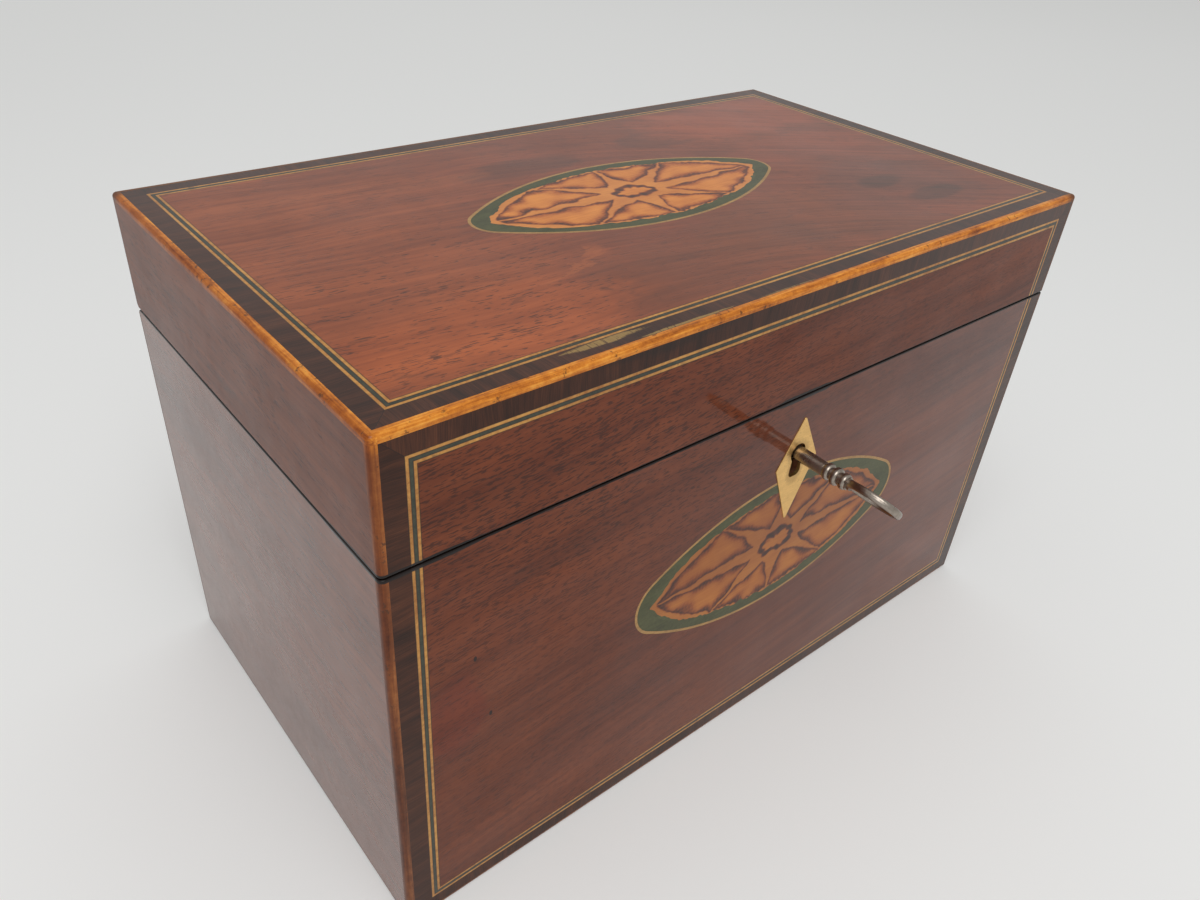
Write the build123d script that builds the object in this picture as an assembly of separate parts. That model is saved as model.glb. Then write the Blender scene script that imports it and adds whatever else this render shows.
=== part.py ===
from build123d import *
import math
import os

# A mahogany tea caddy with a hinged lid, in millimetres.
# The origin is the middle of the face it rests on; +Z is up, the front faces -Y and the hinges are at +Y.

# Overall size
width = 260.0
depth = 147.0
height = 162.5
seam_height = 127.5          # where the lid meets the box

# Boards and veneers
wall_board = 9.2
bottom_board = 7.0
top_board = 7.0
veneer = 0.8
lining_board = 1.5
lining_clearance = 0.25

# Square edging let into every outer corner, and the rounding of the outer arrises
edging = 2.0
base_edging = 1.0            # height of the strip round the foot
corner_round = 1.4
arris_round = 1.2
base_round = 0.6
seam_round = 0.35
seam_gap = 0.5               # open line between the outer skins
seam_slit = 1.6              # how deep that line runs in

# Crossbanding and the triple stringing inside it
side_band = 5.3
rail_band = 4.8
base_band = 4.2
line_width = 0.9

# Oval patera
patera_length = 116.4
patera_height = 49.0
lid_patera_end_radius = 8.4
front_patera_end_radius = 11.2
patera_ground_length = 105.8
patera_ground_height = 41.2
patera_rim = 1.0             # pale rim left outside the petals
leaf_level = 0.3             # how far the pale ground's side runs level, as a share of its half length
leaf_turn_along = 0.9        # and where it turns down to its tip, along and up
leaf_turn_up = 0.66
patera_diagonal = 0.44       # where the slanting rays meet the rim, as a share of a quarter's side
patera_arm = 0.7             # width of a ray at the rim
patera_eye_length = 13.6
patera_eye_height = 7.4
petal_root_reach = 12.1      # half length of the oval on which the petals' roots lie
petal_root_rise = 7.0        # and its half height
patera_petals = 8
petal_bend = 0.5             # how straight a petal's sides run out, as a share of the way
petal_pinch = 0.2            # how far its sides are drawn to its root
long_ray_pinch = 0.5         # the same beside the two rays along the oval
end_petal_crown = 2.5        # bow of a petal's outer edge
side_petal_crown = 0.9
lid_patera_back = 2.0        # how far the lid's patera lies behind the middle
front_patera_right = 2.9
front_patera_drop = 52.8     # middle of the front patera below the seam

# Hinges
hinge_spacing = 150.0
hinge_length = 30.0
leaf_width = 7.0
leaf_thickness = 1.1
leaf_gap = 0.2
leaf_screw_inset = 4.0       # screws in front of the hinge axis
barrel_radius = 1.9
hinge_pin_radius = 0.9
knuckles = 5
knuckle_gap = 0.15
barrel_clearance = 0.3
pin_clearance = 0.04
hinge_set_in = 2.5           # hinge axis inside the back face
lid_open_angle = 95.0
stop_clearance_angle = 0.6

# Screws
screw_head_radius = 1.7
screw_shank_radius = 0.9
screw_point_radius = 0.4
screw_length = 6.0
screw_slot = 0.45
screw_hole_clearance = 0.05

# Lock
lock_offset = 4.0            # lock and keyhole right of the middle
key_drop = 20.1              # key axis below the seam
selvedge = 1.5
plate_length = 62.0
plate_width = 8.0
lock_plate = 1.2
lock_plate_height = 34.5
lock_wall = 1.0
lock_cap = 0.8
lock_cavity_width = 49.0
lock_cavity_depth = 5.5
bit_headroom = 1.0
plate_screw_inset = 3.0

# Hooks on the lid's link plate, and the bolt that enters them
hook_spacing = 24.0
hook_thickness = 2.0
hook_width = 4.6
hook_reach = 8.4
hook_eye_width = 2.6
hook_eye_height = 3.4
hook_toe = 1.2               # metal left below the eye
slot_clearance = 0.6
bolt_throw = 6.5
bolt_clearance = 0.3
bolt_lead = 0.5              # gap between a finger and its hook when unlocked
finger_thickness = 2.0
upstand = 2.4
rail_height = 2.4
rail_play = 0.2
talon_left = 3.7
talon_right = 9.3
talon_width = 2.0
talon_drop = 3.4
guide_stud_radius = 1.0
guide_stud_pitch = 3.0
spring_thickness = 0.5
spring_width = 3.0
spring_length = 18.0
spring_sag = 1.6

# Escutcheon and keyhole
escutcheon_width = 17.8
escutcheon_height = 37.6
escutcheon_rise = 2.6          # its widest line above its middle
escutcheon_offset = 4.4
escutcheon_drop = 26.5       # middle of the plate below the seam
escutcheon_proud = 0.3
escutcheon_round = 0.5
escutcheon_arris = 0.18
keyhole_radius = 3.1
keyhole_slot_drop = 8.4
keyhole_slot_top = 4.0
keyhole_slot_bottom = 5.2
keyhole_corner = 1.7

# Key
key_turned = 47.0            # bit turned from straight down towards +X
stem_radius = 2.4
stem_neck_radius = 2.1
stem_reach = 10.2            # plain stem standing out of the front
collar_pitch = 2.9
collar_length = 2.4
collar_radii = (2.55, 2.75, 2.45)
collar_round = 1.0
collar_neck_radius = 1.95
bow_length = 17.4
bow_width = 15.0
bow_band = 2.3
bow_thickness = 2.2
bow_round = 0.8
bow_neck = 1.6
bit_radius = 8.2
bit_thickness = 2.2
bit_ward = 0.9
key_pipe_radius = 1.45
key_pipe_depth = 9.0
key_end_gap = 0.5            # between the key's inner end and the back plate
bit_gap = 0.3                # between the bit and the cap
drill_pin_radius = 1.2
drill_pin_length = 7.6

# Inside
bay_width = 96.0
partition = 5.0
fitting_drop = 7.0           # covers, partitions and deck below the seam
cover_thickness = 5.0
cover_clearance = 0.5
cover_round = 0.4
cover_line_inset = 5.0
cover_line_depth = 0.8
ledge = 4.0
foil = 0.5
deck_thickness = 6.0
deck_clearance = 0.3
bowl_hole_radius = 41.0

# Knobs on the covers
knob_height = 10.0
knob_flange_radius = 5.0
knob_flange = 1.4
knob_flange_round = 0.6
knob_waist_radius = 2.3
knob_waist_height = 3.4
knob_waist_round = 1.6
knob_ball_radius = 4.2
knob_ball_height = 6.4
knob_ball_round = 1.7
knob_crown_radius = 3.0
knob_crown_fall = 0.9
knob_crown_round = 1.5
knob_spigot_radius = 2.0
knob_spigot_length = 4.0

# Glass mixing bowl
bowl_clearance = 0.5
bowl_depth = 52.0
bowl_wall = 3.0
bowl_floor = 4.5
bowl_rim_radius = 45.0
bowl_rim_height = 5.0
bowl_taper = 5.0
bowl_heel_round = 14.0
flutes = 24
flute_depth = 0.9
flute_radius = 6.0
flute_head = 5.0             # plain glass below the rim, above the flutes
flute_foot = 8.4             # plain glass above the bowl's foot

# How far a cutting tool runs past the face it cuts
overrun = 1.0

# Worked out from the sizes above
half_width = width / 2
half_depth = depth / 2
board_x = half_width - veneer
board_y = half_depth - veneer
inner_x = board_x - wall_board
inner_y = board_y - wall_board
roof = height - veneer - top_board
lid_skin_foot = seam_height + seam_gap / 2
box_skin_head = seam_height - seam_gap / 2
axis_y = half_depth - hinge_set_in
fitting_top = seam_height - fitting_drop
cover_bottom = fitting_top - cover_thickness
ledge_bottom = cover_bottom - ledge
deck_bottom = fitting_top - deck_thickness
bay_x = bay_width / 2
well_x = bay_x + partition

key_z = seam_height - key_drop
lock_back_y = -inner_y - lock_plate
lock_front_y = lock_back_y - lock_cavity_depth
lock_outer_y = lock_front_y - lock_cap
lock_mid_y = (lock_back_y + lock_front_y) / 2
key_inner_end = key_end_gap - half_depth - lock_back_y
cavity_x = lock_cavity_width / 2
cavity_bottom = key_z - bit_radius - bit_headroom
cavity_top = seam_height - selvedge
hook_bottom = seam_height - hook_reach
eye_bottom = hook_bottom + hook_toe
eye_top = eye_bottom + hook_eye_height
rail_top = hook_bottom - bolt_clearance
rail_bottom = rail_top - rail_height
plate_back_y = -inner_y
plate_front_y = plate_back_y - plate_width

TOP = Plane(origin=(0, 0, height - veneer), x_dir=(1, 0, 0), z_dir=(0, 0, 1))
FRONT = Plane(origin=(0, -board_y, 0), x_dir=(1, 0, 0), z_dir=(0, -1, 0))


# Small helpers

def block(x_low, x_high, y_low, y_high, z_low, z_high):
    """A rectangular block between a low and a high limit on each axis."""
    middle = Pos((x_low + x_high) / 2, (y_low + y_high) / 2, (z_low + z_high) / 2)
    return middle * Box(x_high - x_low, y_high - y_low, z_high - z_low)


def polygon(*points):
    return make_face(Polyline(*points, close=True))


def solids_of(*shapes):
    """All the separate solids in some shapes, as one list."""
    return [solid for shape in shapes for solid in shape.solids()]


def cut(shapes, *tools):
    """The shapes with every tool cut from them."""
    return [solid for shape in shapes for solid in (shape - list(tools)).solids()]


def inset(rectangle, sides, rails, open_side=None):
    """A rectangle (left, low, right, high) drawn in; its open side stays where it is."""
    left, low, right, high = rectangle
    low_step = 0 if open_side == "low" else rails
    high_step = 0 if open_side == "high" else rails
    return (left + sides, low + low_step, right - sides, high - high_step)


def border(outer, inner, open_side=None):
    """The mitred strips between two nested rectangles, as faces."""
    outer_corners = corners_of(outer)
    inner_corners = corners_of(inner)
    strips = []
    for start, side in enumerate(("low", "right", "high", "left")):
        end = (start + 1) % 4
        if side != open_side:
            strips.append(polygon(outer_corners[start], outer_corners[end],
                                  inner_corners[end], inner_corners[start]))
    return strips


def corners_of(rectangle):
    left, low, right, high = rectangle
    return ((left, low), (right, low), (right, high), (left, high))


def inlay(plane, faces, form=None):
    """Faces laid as veneer on a plane, trimmed to the rounded outer form if one is given."""
    pieces = [extrude(plane * face, amount=veneer) for face in faces]
    if form is None:
        return solids_of(*pieces)
    return solids_of(*[piece & form for piece in pieces])


# The outer forms, the seam and the bevel at the back

def rounded_form(z_low, z_high, low_round, high_round):
    form = block(-half_width, half_width, -half_depth, half_depth, z_low, z_high)
    form = fillet(form.edges().filter_by(Axis.Z), corner_round)
    form = fillet(form.faces().sort_by(Axis.Z)[-1].edges(), high_round)
    return fillet(form.faces().sort_by(Axis.Z)[0].edges(), low_round)


def seam_cutter():
    """The thin slot that the outer skins and the rims' outer edges leave open all round."""
    low, high = box_skin_head, lid_skin_foot
    outside = block(-width, width, -depth, depth, low, high)
    x, y = half_width - seam_slit, half_depth - seam_slit
    return outside - block(-x, x, -y, y, low - overrun, high + overrun)


def bevel_cutter():
    """The V along the back, whose two slopes meet when the lid is fully open."""
    slope = math.radians((lid_open_angle + stop_clearance_angle) / 2)
    reach = hinge_set_in + overrun
    rise = reach * math.tan(slope)
    wedge = polygon((axis_y, seam_height), (axis_y + reach, seam_height + rise),
                    (axis_y + reach, seam_height - rise))
    return extrude(Plane.YZ * wedge, amount=width, both=True)


def corner_edging(z_low, z_high):
    """Square strips up the four corners."""
    strips = []
    for x in (-1, 1):
        for y in (-1, 1):
            x_limits = sorted((x * half_width, x * (half_width - edging)))
            y_limits = sorted((y * half_depth, y * (half_depth - edging)))
            strips.append(block(*x_limits, *y_limits, z_low, z_high))
    return strips


def level_edging(z_low, strip_height):
    """Strips round the four sides, mitred where they meet."""
    outer = (-half_width, -half_depth, half_width, half_depth)
    level = Plane.XY.offset(z_low)
    return [extrude(level * strip, amount=strip_height)
            for strip in border(outer, inset(outer, edging, edging))]


# Screws and the hinges

def screw():
    """A countersunk slotted screw, its head's face at z 0 and its point down."""
    head = screw_head_radius - screw_shank_radius
    body = Pos(0, 0, -head / 2) * Cone(screw_shank_radius, screw_head_radius, head)
    shank = screw_length - head
    body += Pos(0, 0, -head - shank / 2) * Cone(screw_point_radius, screw_shank_radius, shank)
    slot_depth = head / 2
    return body - Pos(0, 0, -slot_depth / 2) * Box(2 * screw_head_radius, screw_slot, slot_depth)


def screw_hole():
    """The countersunk hole that a screw fits."""
    head = screw_head_radius - screw_shank_radius
    clear = screw_hole_clearance
    hole = Pos(0, 0, -head / 2) * Cone(screw_shank_radius + clear, screw_head_radius + clear, head)
    shank = screw_length - head + clear
    return hole + Pos(0, 0, -head - shank / 2) * Cylinder(screw_shank_radius + clear, shank)


def hinge_places():
    return [-hinge_spacing / 2, hinge_spacing / 2]


def leaf_face_z(side):
    """The leaf's meeting face: side 1 is the lid's leaf, -1 the box's."""
    return seam_height + side * leaf_gap / 2


def hinge_screw_places(side):
    """Where one leaf's three screws sit, their heads flush with its meeting face."""
    turn = Rot(180, 0, 0) if side > 0 else Rot(0, 0, 0)
    y = axis_y - leaf_screw_inset
    return [Pos(x + step * hinge_length / 3, y, leaf_face_z(side)) * turn
            for x in hinge_places() for step in (-1, 0, 1)]


def hinge_screws(side):
    return solids_of(*[place * screw() for place in hinge_screw_places(side)])


def barrel(x, start, length, radius):
    """A round along the hinge axis, from a distance in from the hinge's end."""
    middle = x - hinge_length / 2 + start + length / 2
    return Pos(middle, axis_y, seam_height) * Rot(0, 90, 0) * Cylinder(radius, length)


def knuckle_spans(side):
    """Start and length of each knuckle; the box's leaf holds the end ones."""
    pitch = hinge_length / knuckles
    first = 0 if side < 0 else 1
    return [(index * pitch + knuckle_gap / 2, pitch - knuckle_gap) for index in range(first, knuckles, 2)]


def hinge_leaf(x, side):
    """One leaf with its knuckles round the pin."""
    face = leaf_face_z(side)
    z_limits = sorted((face, face + side * leaf_thickness))
    leaf = block(x - hinge_length / 2, x + hinge_length / 2, axis_y - leaf_width, axis_y, *z_limits)
    clearance = barrel_clearance - knuckle_gap / 2
    for start, length in knuckle_spans(-side):
        leaf -= barrel(x, start - knuckle_gap, length + 2 * knuckle_gap, barrel_radius + clearance)
    for start, length in knuckle_spans(side):
        leaf += barrel(x, start, length, barrel_radius)
    bore = hinge_pin_radius + pin_clearance
    leaf -= barrel(x, -overrun, hinge_length + 2 * overrun, bore)
    holes = [place * screw_hole() for place in hinge_screw_places(side)]
    return leaf - holes


def hinge_leaves(side):
    return solids_of(*[hinge_leaf(x, side) for x in hinge_places()])


def hinge_pins():
    inset_end = knuckle_gap / 2
    length = hinge_length - 2 * inset_end
    return solids_of(*[barrel(x, inset_end, length, hinge_pin_radius) for x in hinge_places()])


def hinge_recess(side):
    """What the hinges take out of the rim on one side of the seam."""
    face = leaf_face_z(side)
    z_limits = sorted((seam_height, face + side * leaf_thickness))
    tools = []
    for x in hinge_places():
        half = hinge_length / 2
        tools.append(block(x - half, x + half, axis_y - leaf_width, axis_y, *z_limits))
        room = barrel_clearance
        tools.append(barrel(x, -room, hinge_length + 2 * room, barrel_radius + room))
    tools += [place * screw_hole() for place in hinge_screw_places(side)]
    return tools


# Keyhole, escutcheon and key

def keyhole_face():
    """The keyhole's outline, as seen on the front."""
    top, bottom = keyhole_slot_top / 2, keyhole_slot_bottom / 2
    foot = key_z - keyhole_slot_drop
    slot = polygon((lock_offset - top, key_z), (lock_offset - bottom, foot),
                   (lock_offset + bottom, foot), (lock_offset + top, key_z))
    slot = fillet(slot.vertices().sort_by(Axis.Y)[:2], keyhole_corner)
    return slot + Pos(lock_offset, key_z) * Circle(keyhole_radius)


def keyhole_cutter():
    """The keyhole through the front, as far as the lock's inside."""
    start = Plane(origin=(0, -half_depth - overrun, 0), x_dir=(1, 0, 0), z_dir=(0, -1, 0))
    through = lock_front_y + half_depth + overrun
    return extrude(start * keyhole_face(), amount=-through)


def escutcheon_face():
    x, z = escutcheon_width / 2, escutcheon_height / 2
    middle_z = seam_height - escutcheon_drop
    widest_z = middle_z + escutcheon_rise
    diamond = polygon((escutcheon_offset - x, widest_z), (escutcheon_offset, middle_z - z),
                      (escutcheon_offset + x, widest_z), (escutcheon_offset, middle_z + z))
    return fillet(diamond.vertices(), escutcheon_round)


def escutcheon_blank(thickness):
    """The diamond, from the board's face outwards."""
    return extrude(FRONT * escutcheon_face(), amount=thickness)


def escutcheon():
    plate = escutcheon_blank(veneer + escutcheon_proud)
    arris = plate.faces().sort_by(Axis.Y)[0].edges()
    plate = fillet(arris, escutcheon_arris)
    return solids_of(plate - keyhole_cutter())


def key_frame():
    """Local +Z is out of the front and local +X is the way the bit points."""
    turned = math.radians(key_turned)
    bit_way = (math.sin(turned), 0, -math.cos(turned))
    return Plane(origin=(lock_offset, -half_depth, key_z), x_dir=bit_way, z_dir=(0, -1, 0))


def key_stem():
    """The stem from inside the lock to the bow, with its three turned collars."""
    plain = stem_reach - key_inner_end
    stem = Pos(0, 0, key_inner_end + plain / 2) * Cone(stem_radius, stem_neck_radius, plain)
    turned = collar_pitch * len(collar_radii)
    stem += Pos(0, 0, stem_reach + turned / 2) * Cylinder(collar_neck_radius, turned)
    for index, radius in enumerate(collar_radii):
        place = stem_reach + collar_pitch * (index + 0.5)
        stem += Pos(0, 0, place) * fillet(Cylinder(radius, collar_length).edges(), collar_round)
    return stem - key_pipe()


def key_pipe():
    """The bore in the key's inner end, which the lock's pin enters."""
    return Pos(0, 0, key_inner_end + key_pipe_depth / 2) * Cylinder(key_pipe_radius, key_pipe_depth)


def key_bow():
    """The flat oval ring, in the plane of the bit."""
    start = stem_reach + collar_pitch * len(collar_radii)
    middle = start + bow_length / 2
    outline = Ellipse(bow_width / 2, bow_length / 2)
    outline -= Ellipse(bow_width / 2 - bow_band, bow_length / 2 - bow_band)
    flat = Plane(origin=(0, 0, middle), x_dir=(1, 0, 0), z_dir=(0, -1, 0))
    ring = extrude(flat * outline, amount=bow_thickness / 2, both=True)
    ring = fillet(ring.edges(), bow_round)
    neck = Pos(0, 0, start) * Cylinder(bow_neck, bow_band)
    return ring + neck


def key_bit():
    """The bit, with a ward cut in its end face."""
    outer = -half_depth - lock_front_y - bit_gap
    half = bit_thickness / 2
    bit = block(0, bit_radius, -half, half, key_inner_end, outer)
    ward_x = (stem_radius + bit_radius) / 2
    ward_half = bit_ward / 2
    ward_top = (key_inner_end + outer) / 2
    ward = block(ward_x - ward_half, ward_x + ward_half, -half, half, key_inner_end, ward_top)
    return bit - ward - key_pipe()


def key():
    return solids_of(key_frame() * (key_stem() + key_bow() + key_bit()))


# The lock in the front wall

def lock_pocket():
    """The room that the lock takes out of the front board."""
    x = lock_offset
    wide = plate_length / 2
    case = cavity_x + lock_wall
    plate_foot = cavity_top - lock_plate_height
    return [
        block(x - wide, x + wide, lock_back_y, -inner_y, plate_foot, seam_height),
        block(x - case, x + case, lock_outer_y, -inner_y, cavity_bottom - lock_wall, seam_height),
        block(x - wide, x + wide, plate_front_y, plate_back_y, cavity_top, seam_height),
    ]


def lock_case():
    """The back plate with the case's walls and the bolt's guide studs."""
    x = lock_offset
    wide = plate_length / 2
    case = cavity_x + lock_wall
    foot = cavity_bottom - lock_wall
    plate = block(x - wide, x + wide, lock_back_y, -inner_y, cavity_top - lock_plate_height, cavity_top)
    walls = block(x - case, x + case, lock_front_y, lock_back_y, foot, cavity_top)
    walls -= block(x - cavity_x, x + cavity_x, lock_front_y, lock_back_y, cavity_bottom, cavity_top)
    body = plate + walls
    for step in (1, 2):
        stud_x = x + talon_right + talon_width + step * guide_stud_pitch
        stud_z = rail_bottom - rail_play - guide_stud_radius
        body += along_y(stud_x, stud_z, guide_stud_radius, lock_front_y, lock_back_y)
    body -= along_y(x, key_z, drill_pin_radius, lock_back_y - overrun, overrun - inner_y)
    return solids_of(body - [place * screw_hole() for place in lock_screw_places()])


def along_y(x, z, radius, y_low, y_high):
    middle = Pos(x, (y_low + y_high) / 2, z)
    return middle * Rot(90, 0, 0) * Cylinder(radius, y_high - y_low)


def lock_screw_places():
    """Screws through the back plate's corners into the front board, driven from inside."""
    turn = Rot(-90, 0, 0)
    x_step = plate_length / 2 - plate_screw_inset
    low = cavity_top - lock_plate_height + plate_screw_inset
    high = cavity_top - 2 * plate_screw_inset
    return [Pos(lock_offset + side * x_step, -inner_y, z) * turn for side in (-1, 1) for z in (low, high)]


def lock_screws():
    return solids_of(*[place * screw() for place in lock_screw_places()])


def hook_places():
    return [lock_offset - hook_spacing / 2, lock_offset + hook_spacing / 2]


def selvedge_plate():
    """The brass plate in the rim, with a slot for each hook."""
    x = lock_offset
    wide = plate_length / 2
    plate = block(x - wide, x + wide, plate_front_y, plate_back_y, cavity_top, seam_height)
    half_x = hook_thickness / 2 + slot_clearance
    half_y = hook_width / 2 + slot_clearance
    for place in hook_places():
        plate -= block(place - half_x, place + half_x, lock_mid_y - half_y, lock_mid_y + half_y,
                       cavity_top - overrun, seam_height + overrun)
    return solids_of(plate - [place * screw_hole() for place in plate_screw_places(-1)])


def plate_screw_places(side):
    """The two end screws of the selvedge (side -1) or of the link plate (side 1)."""
    turn = Rot(180, 0, 0) if side > 0 else Rot(0, 0, 0)
    x_step = plate_length / 2 - plate_screw_inset
    y = (plate_front_y + plate_back_y) / 2
    return [Pos(lock_offset + way * x_step, y, seam_height) * turn for way in (-1, 1)]


def plate_screws(side):
    return solids_of(*[place * screw() for place in plate_screw_places(side)])


def lock_cap_plate():
    """The thin plate that closes the lock towards the front, with its keyhole."""
    x = lock_offset
    case = cavity_x + lock_wall
    plate = block(x - case, x + case, lock_outer_y, lock_front_y, cavity_bottom - lock_wall, cavity_top)
    return solids_of(plate - keyhole_cutter())


def lock_drill_pin():
    end = -inner_y - drill_pin_length
    return solids_of(along_y(lock_offset, key_z, drill_pin_radius, end, -inner_y))


def lock_bolt():
    """A rail with two talons below it and two fingers above it that slide into the hooks."""
    half_y = finger_thickness / 2
    finger_low = eye_bottom + bolt_clearance
    finger_high = eye_top - bolt_clearance
    stand_start = hook_thickness / 2 + bolt_throw + 2 * bolt_clearance + bolt_lead
    bolt = None
    for place in hook_places():
        tip = place + hook_thickness / 2 + bolt_lead
        stand = place + stand_start
        y_limits = (lock_mid_y - half_y, lock_mid_y + half_y)
        finger = block(tip, stand + upstand, *y_limits, finger_low, finger_high)
        finger += block(stand, stand + upstand, *y_limits, rail_bottom, finger_high)
        bolt = finger if bolt is None else bolt + finger
    x = lock_offset
    rail_left = x - talon_left - talon_width
    rail_right = hook_places()[1] + stand_start + upstand
    y_low, y_high = lock_front_y + rail_play, lock_back_y - rail_play
    bolt += block(rail_left, rail_right, y_low, y_high, rail_bottom, rail_top)
    talon_foot = rail_bottom - talon_drop
    bolt += block(rail_left, x - talon_left, y_low, y_high, talon_foot, rail_bottom)
    bolt += block(x + talon_right, x + talon_right + talon_width, y_low, y_high, talon_foot, rail_bottom)
    return solids_of(bolt)


def lock_spring():
    """A bowed leaf under the selvedge, pressing on a finger of the bolt."""
    finger_high = eye_top - bolt_clearance
    top = cavity_top - spring_thickness
    half = spring_length / 2
    x = lock_offset
    low = max(finger_high + rail_play, top - spring_sag)
    lower = ThreePointArc((x - half, top), (x, low), (x + half, top))
    upper = ThreePointArc((x + half, top + spring_thickness), (x, low + spring_thickness),
                          (x - half, top + spring_thickness))
    ends = [Line((x + half, top), (x + half, top + spring_thickness)),
            Line((x - half, top + spring_thickness), (x - half, top))]
    strip = make_face([lower, upper] + ends)
    middle = Plane(origin=(0, lock_mid_y, 0), x_dir=(1, 0, 0), z_dir=(0, -1, 0))
    return solids_of(extrude(middle * strip, amount=spring_width / 2, both=True))


def link_plate():
    """The lid's plate, with the two hooks riveted through it."""
    x = lock_offset
    wide = plate_length / 2
    plate = block(x - wide, x + wide, plate_front_y, plate_back_y, seam_height, seam_height + selvedge)
    for place in hook_places():
        plate -= block(*hook_limits(place), seam_height - overrun, seam_height + selvedge + overrun)
    return solids_of(plate - [place * screw_hole() for place in plate_screw_places(1)])


def hook_limits(x):
    half_x, half_y = hook_thickness / 2, hook_width / 2
    return (x - half_x, x + half_x, lock_mid_y - half_y, lock_mid_y + half_y)


def link_hooks():
    hooks = []
    eye = hook_eye_width / 2
    for place in hook_places():
        hook = block(*hook_limits(place), hook_bottom, seam_height + selvedge)
        hooks.append(hook - block(place - hook_thickness, place + hook_thickness,
                                  lock_mid_y - eye, lock_mid_y + eye, eye_bottom, eye_top))
    return solids_of(*hooks)


def link_recess():
    x = lock_offset
    wide = plate_length / 2
    plate = block(x - wide, x + wide, plate_front_y, plate_back_y, seam_height, seam_height + selvedge)
    return [plate] + [place * screw_hole() for place in plate_screw_places(1)]


# The oval patera

def oval(half_length, half_height, end_radius):
    """A four-arc oval: two long arcs joined by two small end arcs that they touch smoothly."""
    centre_x = half_length - end_radius
    long_radius = (centre_x ** 2 + half_height ** 2 - end_radius ** 2) / (2 * (half_height - end_radius))
    drop = long_radius - half_height
    share = end_radius / (long_radius - end_radius)
    join_x = centre_x * (1 + share)
    join_y = drop * share
    arcs = [
        ThreePointArc((-join_x, join_y), (0, half_height), (join_x, join_y)),
        ThreePointArc((join_x, join_y), (half_length, 0), (join_x, -join_y)),
        ThreePointArc((join_x, -join_y), (0, -half_height), (-join_x, -join_y)),
        ThreePointArc((-join_x, -join_y), (-half_length, 0), (-join_x, join_y)),
    ]
    return make_face(arcs)


def leaf_controls(half_length, half_height):
    """The guiding points of a quarter of the leaf, from the middle of its side to its tip."""
    return [(0, half_height),
            (half_length * leaf_level, half_height),
            (half_length * leaf_turn_along, half_height * leaf_turn_up),
            (half_length, 0)]


def leaf(half_length, half_height):
    """A full-bodied leaf, pointed at each end."""
    controls = leaf_controls(half_length, half_height)
    quarters = [(1, 1), (1, -1), (-1, -1), (-1, 1)]
    return make_face([Bezier(*[(x * along, y * up) for x, y in controls]) for along, up in quarters])


def leaf_place(half_length, half_height, share):
    """A place on the leaf's side, at a share of the way from its middle to its tip."""
    rest = 1 - share
    weights = [rest ** 3, 3 * rest ** 2 * share, 3 * rest * share ** 2, share ** 3]
    controls = leaf_controls(half_length, half_height)
    return (sum(weight * point[0] for weight, point in zip(weights, controls)),
            sum(weight * point[1] for weight, point in zip(weights, controls)))


def ray_tips():
    """Where the rays of the star meet the petals' outer line, in turn round the leaf."""
    a = patera_ground_length / 2 - patera_rim * patera_ground_length / patera_ground_height
    b = patera_ground_height / 2 - patera_rim
    slant_x, slant_y = leaf_place(a, b, patera_diagonal)
    return [(a, 0), (slant_x, slant_y), (0, b), (-slant_x, slant_y),
            (-a, 0), (-slant_x, -slant_y), (0, -b), (slant_x, -slant_y)]


def petal_roots():
    """The petals' inner points, on an oval round the eye."""
    step = 2 * math.pi / patera_petals
    return [(petal_root_reach * math.cos(step * (turn + 0.5)),
             petal_root_rise * math.sin(step * (turn + 0.5))) for turn in range(patera_petals)]


def petal(turn):
    """One petal, from its root out to the rim between two rays."""
    tips = ray_tips()
    root = Vector(*petal_roots()[turn])
    first = Vector(*tips[turn])
    last = Vector(*tips[(turn + 1) % patera_petals])
    chord = (last - first).normalized()
    first += chord * patera_arm
    last -= chord * patera_arm
    outward = ((first + last) / 2).normalized()
    crown = (first + last) / 2 + outward * petal_crown(turn)
    first_bend = first * petal_bend + root * side_pinch(turn)
    last_bend = last * petal_bend + root * side_pinch(turn + 1)
    return make_face([
        Bezier(root, first_bend, first),
        ThreePointArc(first, crown, last),
        Bezier(last, last_bend, root),
    ])


def side_pinch(ray):
    """How far a petal's side is drawn to its root, next to a numbered ray."""
    along_the_oval = ray % (patera_petals // 2) == 0
    return long_ray_pinch if along_the_oval else petal_pinch


def petal_crown(turn):
    """How far a petal's outer edge bows; the four at the oval's ends bow more."""
    at_the_end = turn in (0, 3, 4, 7)
    return end_petal_crown if at_the_end else side_petal_crown


def patera_faces(end_radius):
    """The patera's pieces as faces about its own middle."""
    a, b = patera_length / 2, patera_height / 2
    outline = oval(a, b, end_radius)
    inside_line = oval(a - line_width, b - line_width, end_radius - line_width)
    ground = leaf(patera_ground_length / 2, patera_ground_height / 2)
    eye = Ellipse(patera_eye_length / 2, patera_eye_height / 2)
    petals = [petal(turn) for turn in range(patera_petals)]
    return {
        "line": [outline - inside_line],
        "green_band": [inside_line - ground],
        "ground": [ground - eye - petals],
        "petals": petals + [eye],
    }


def patera_outline(end_radius):
    return oval(patera_length / 2, patera_height / 2, end_radius)


def lid_patera_place():
    return TOP * Pos(0, lid_patera_back)


def front_patera_place():
    return FRONT * Pos(front_patera_right, seam_height - front_patera_drop)


def patera_pieces(place, end_radius, cutters=()):
    pieces = {}
    for name, faces in patera_faces(end_radius).items():
        laid = solids_of(*[extrude(place * face, amount=veneer) for face in faces])
        pieces[name] = cut(laid, *cutters) if cutters else laid
    return pieces


# Veneered panels with crossbanding and stringing

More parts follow.
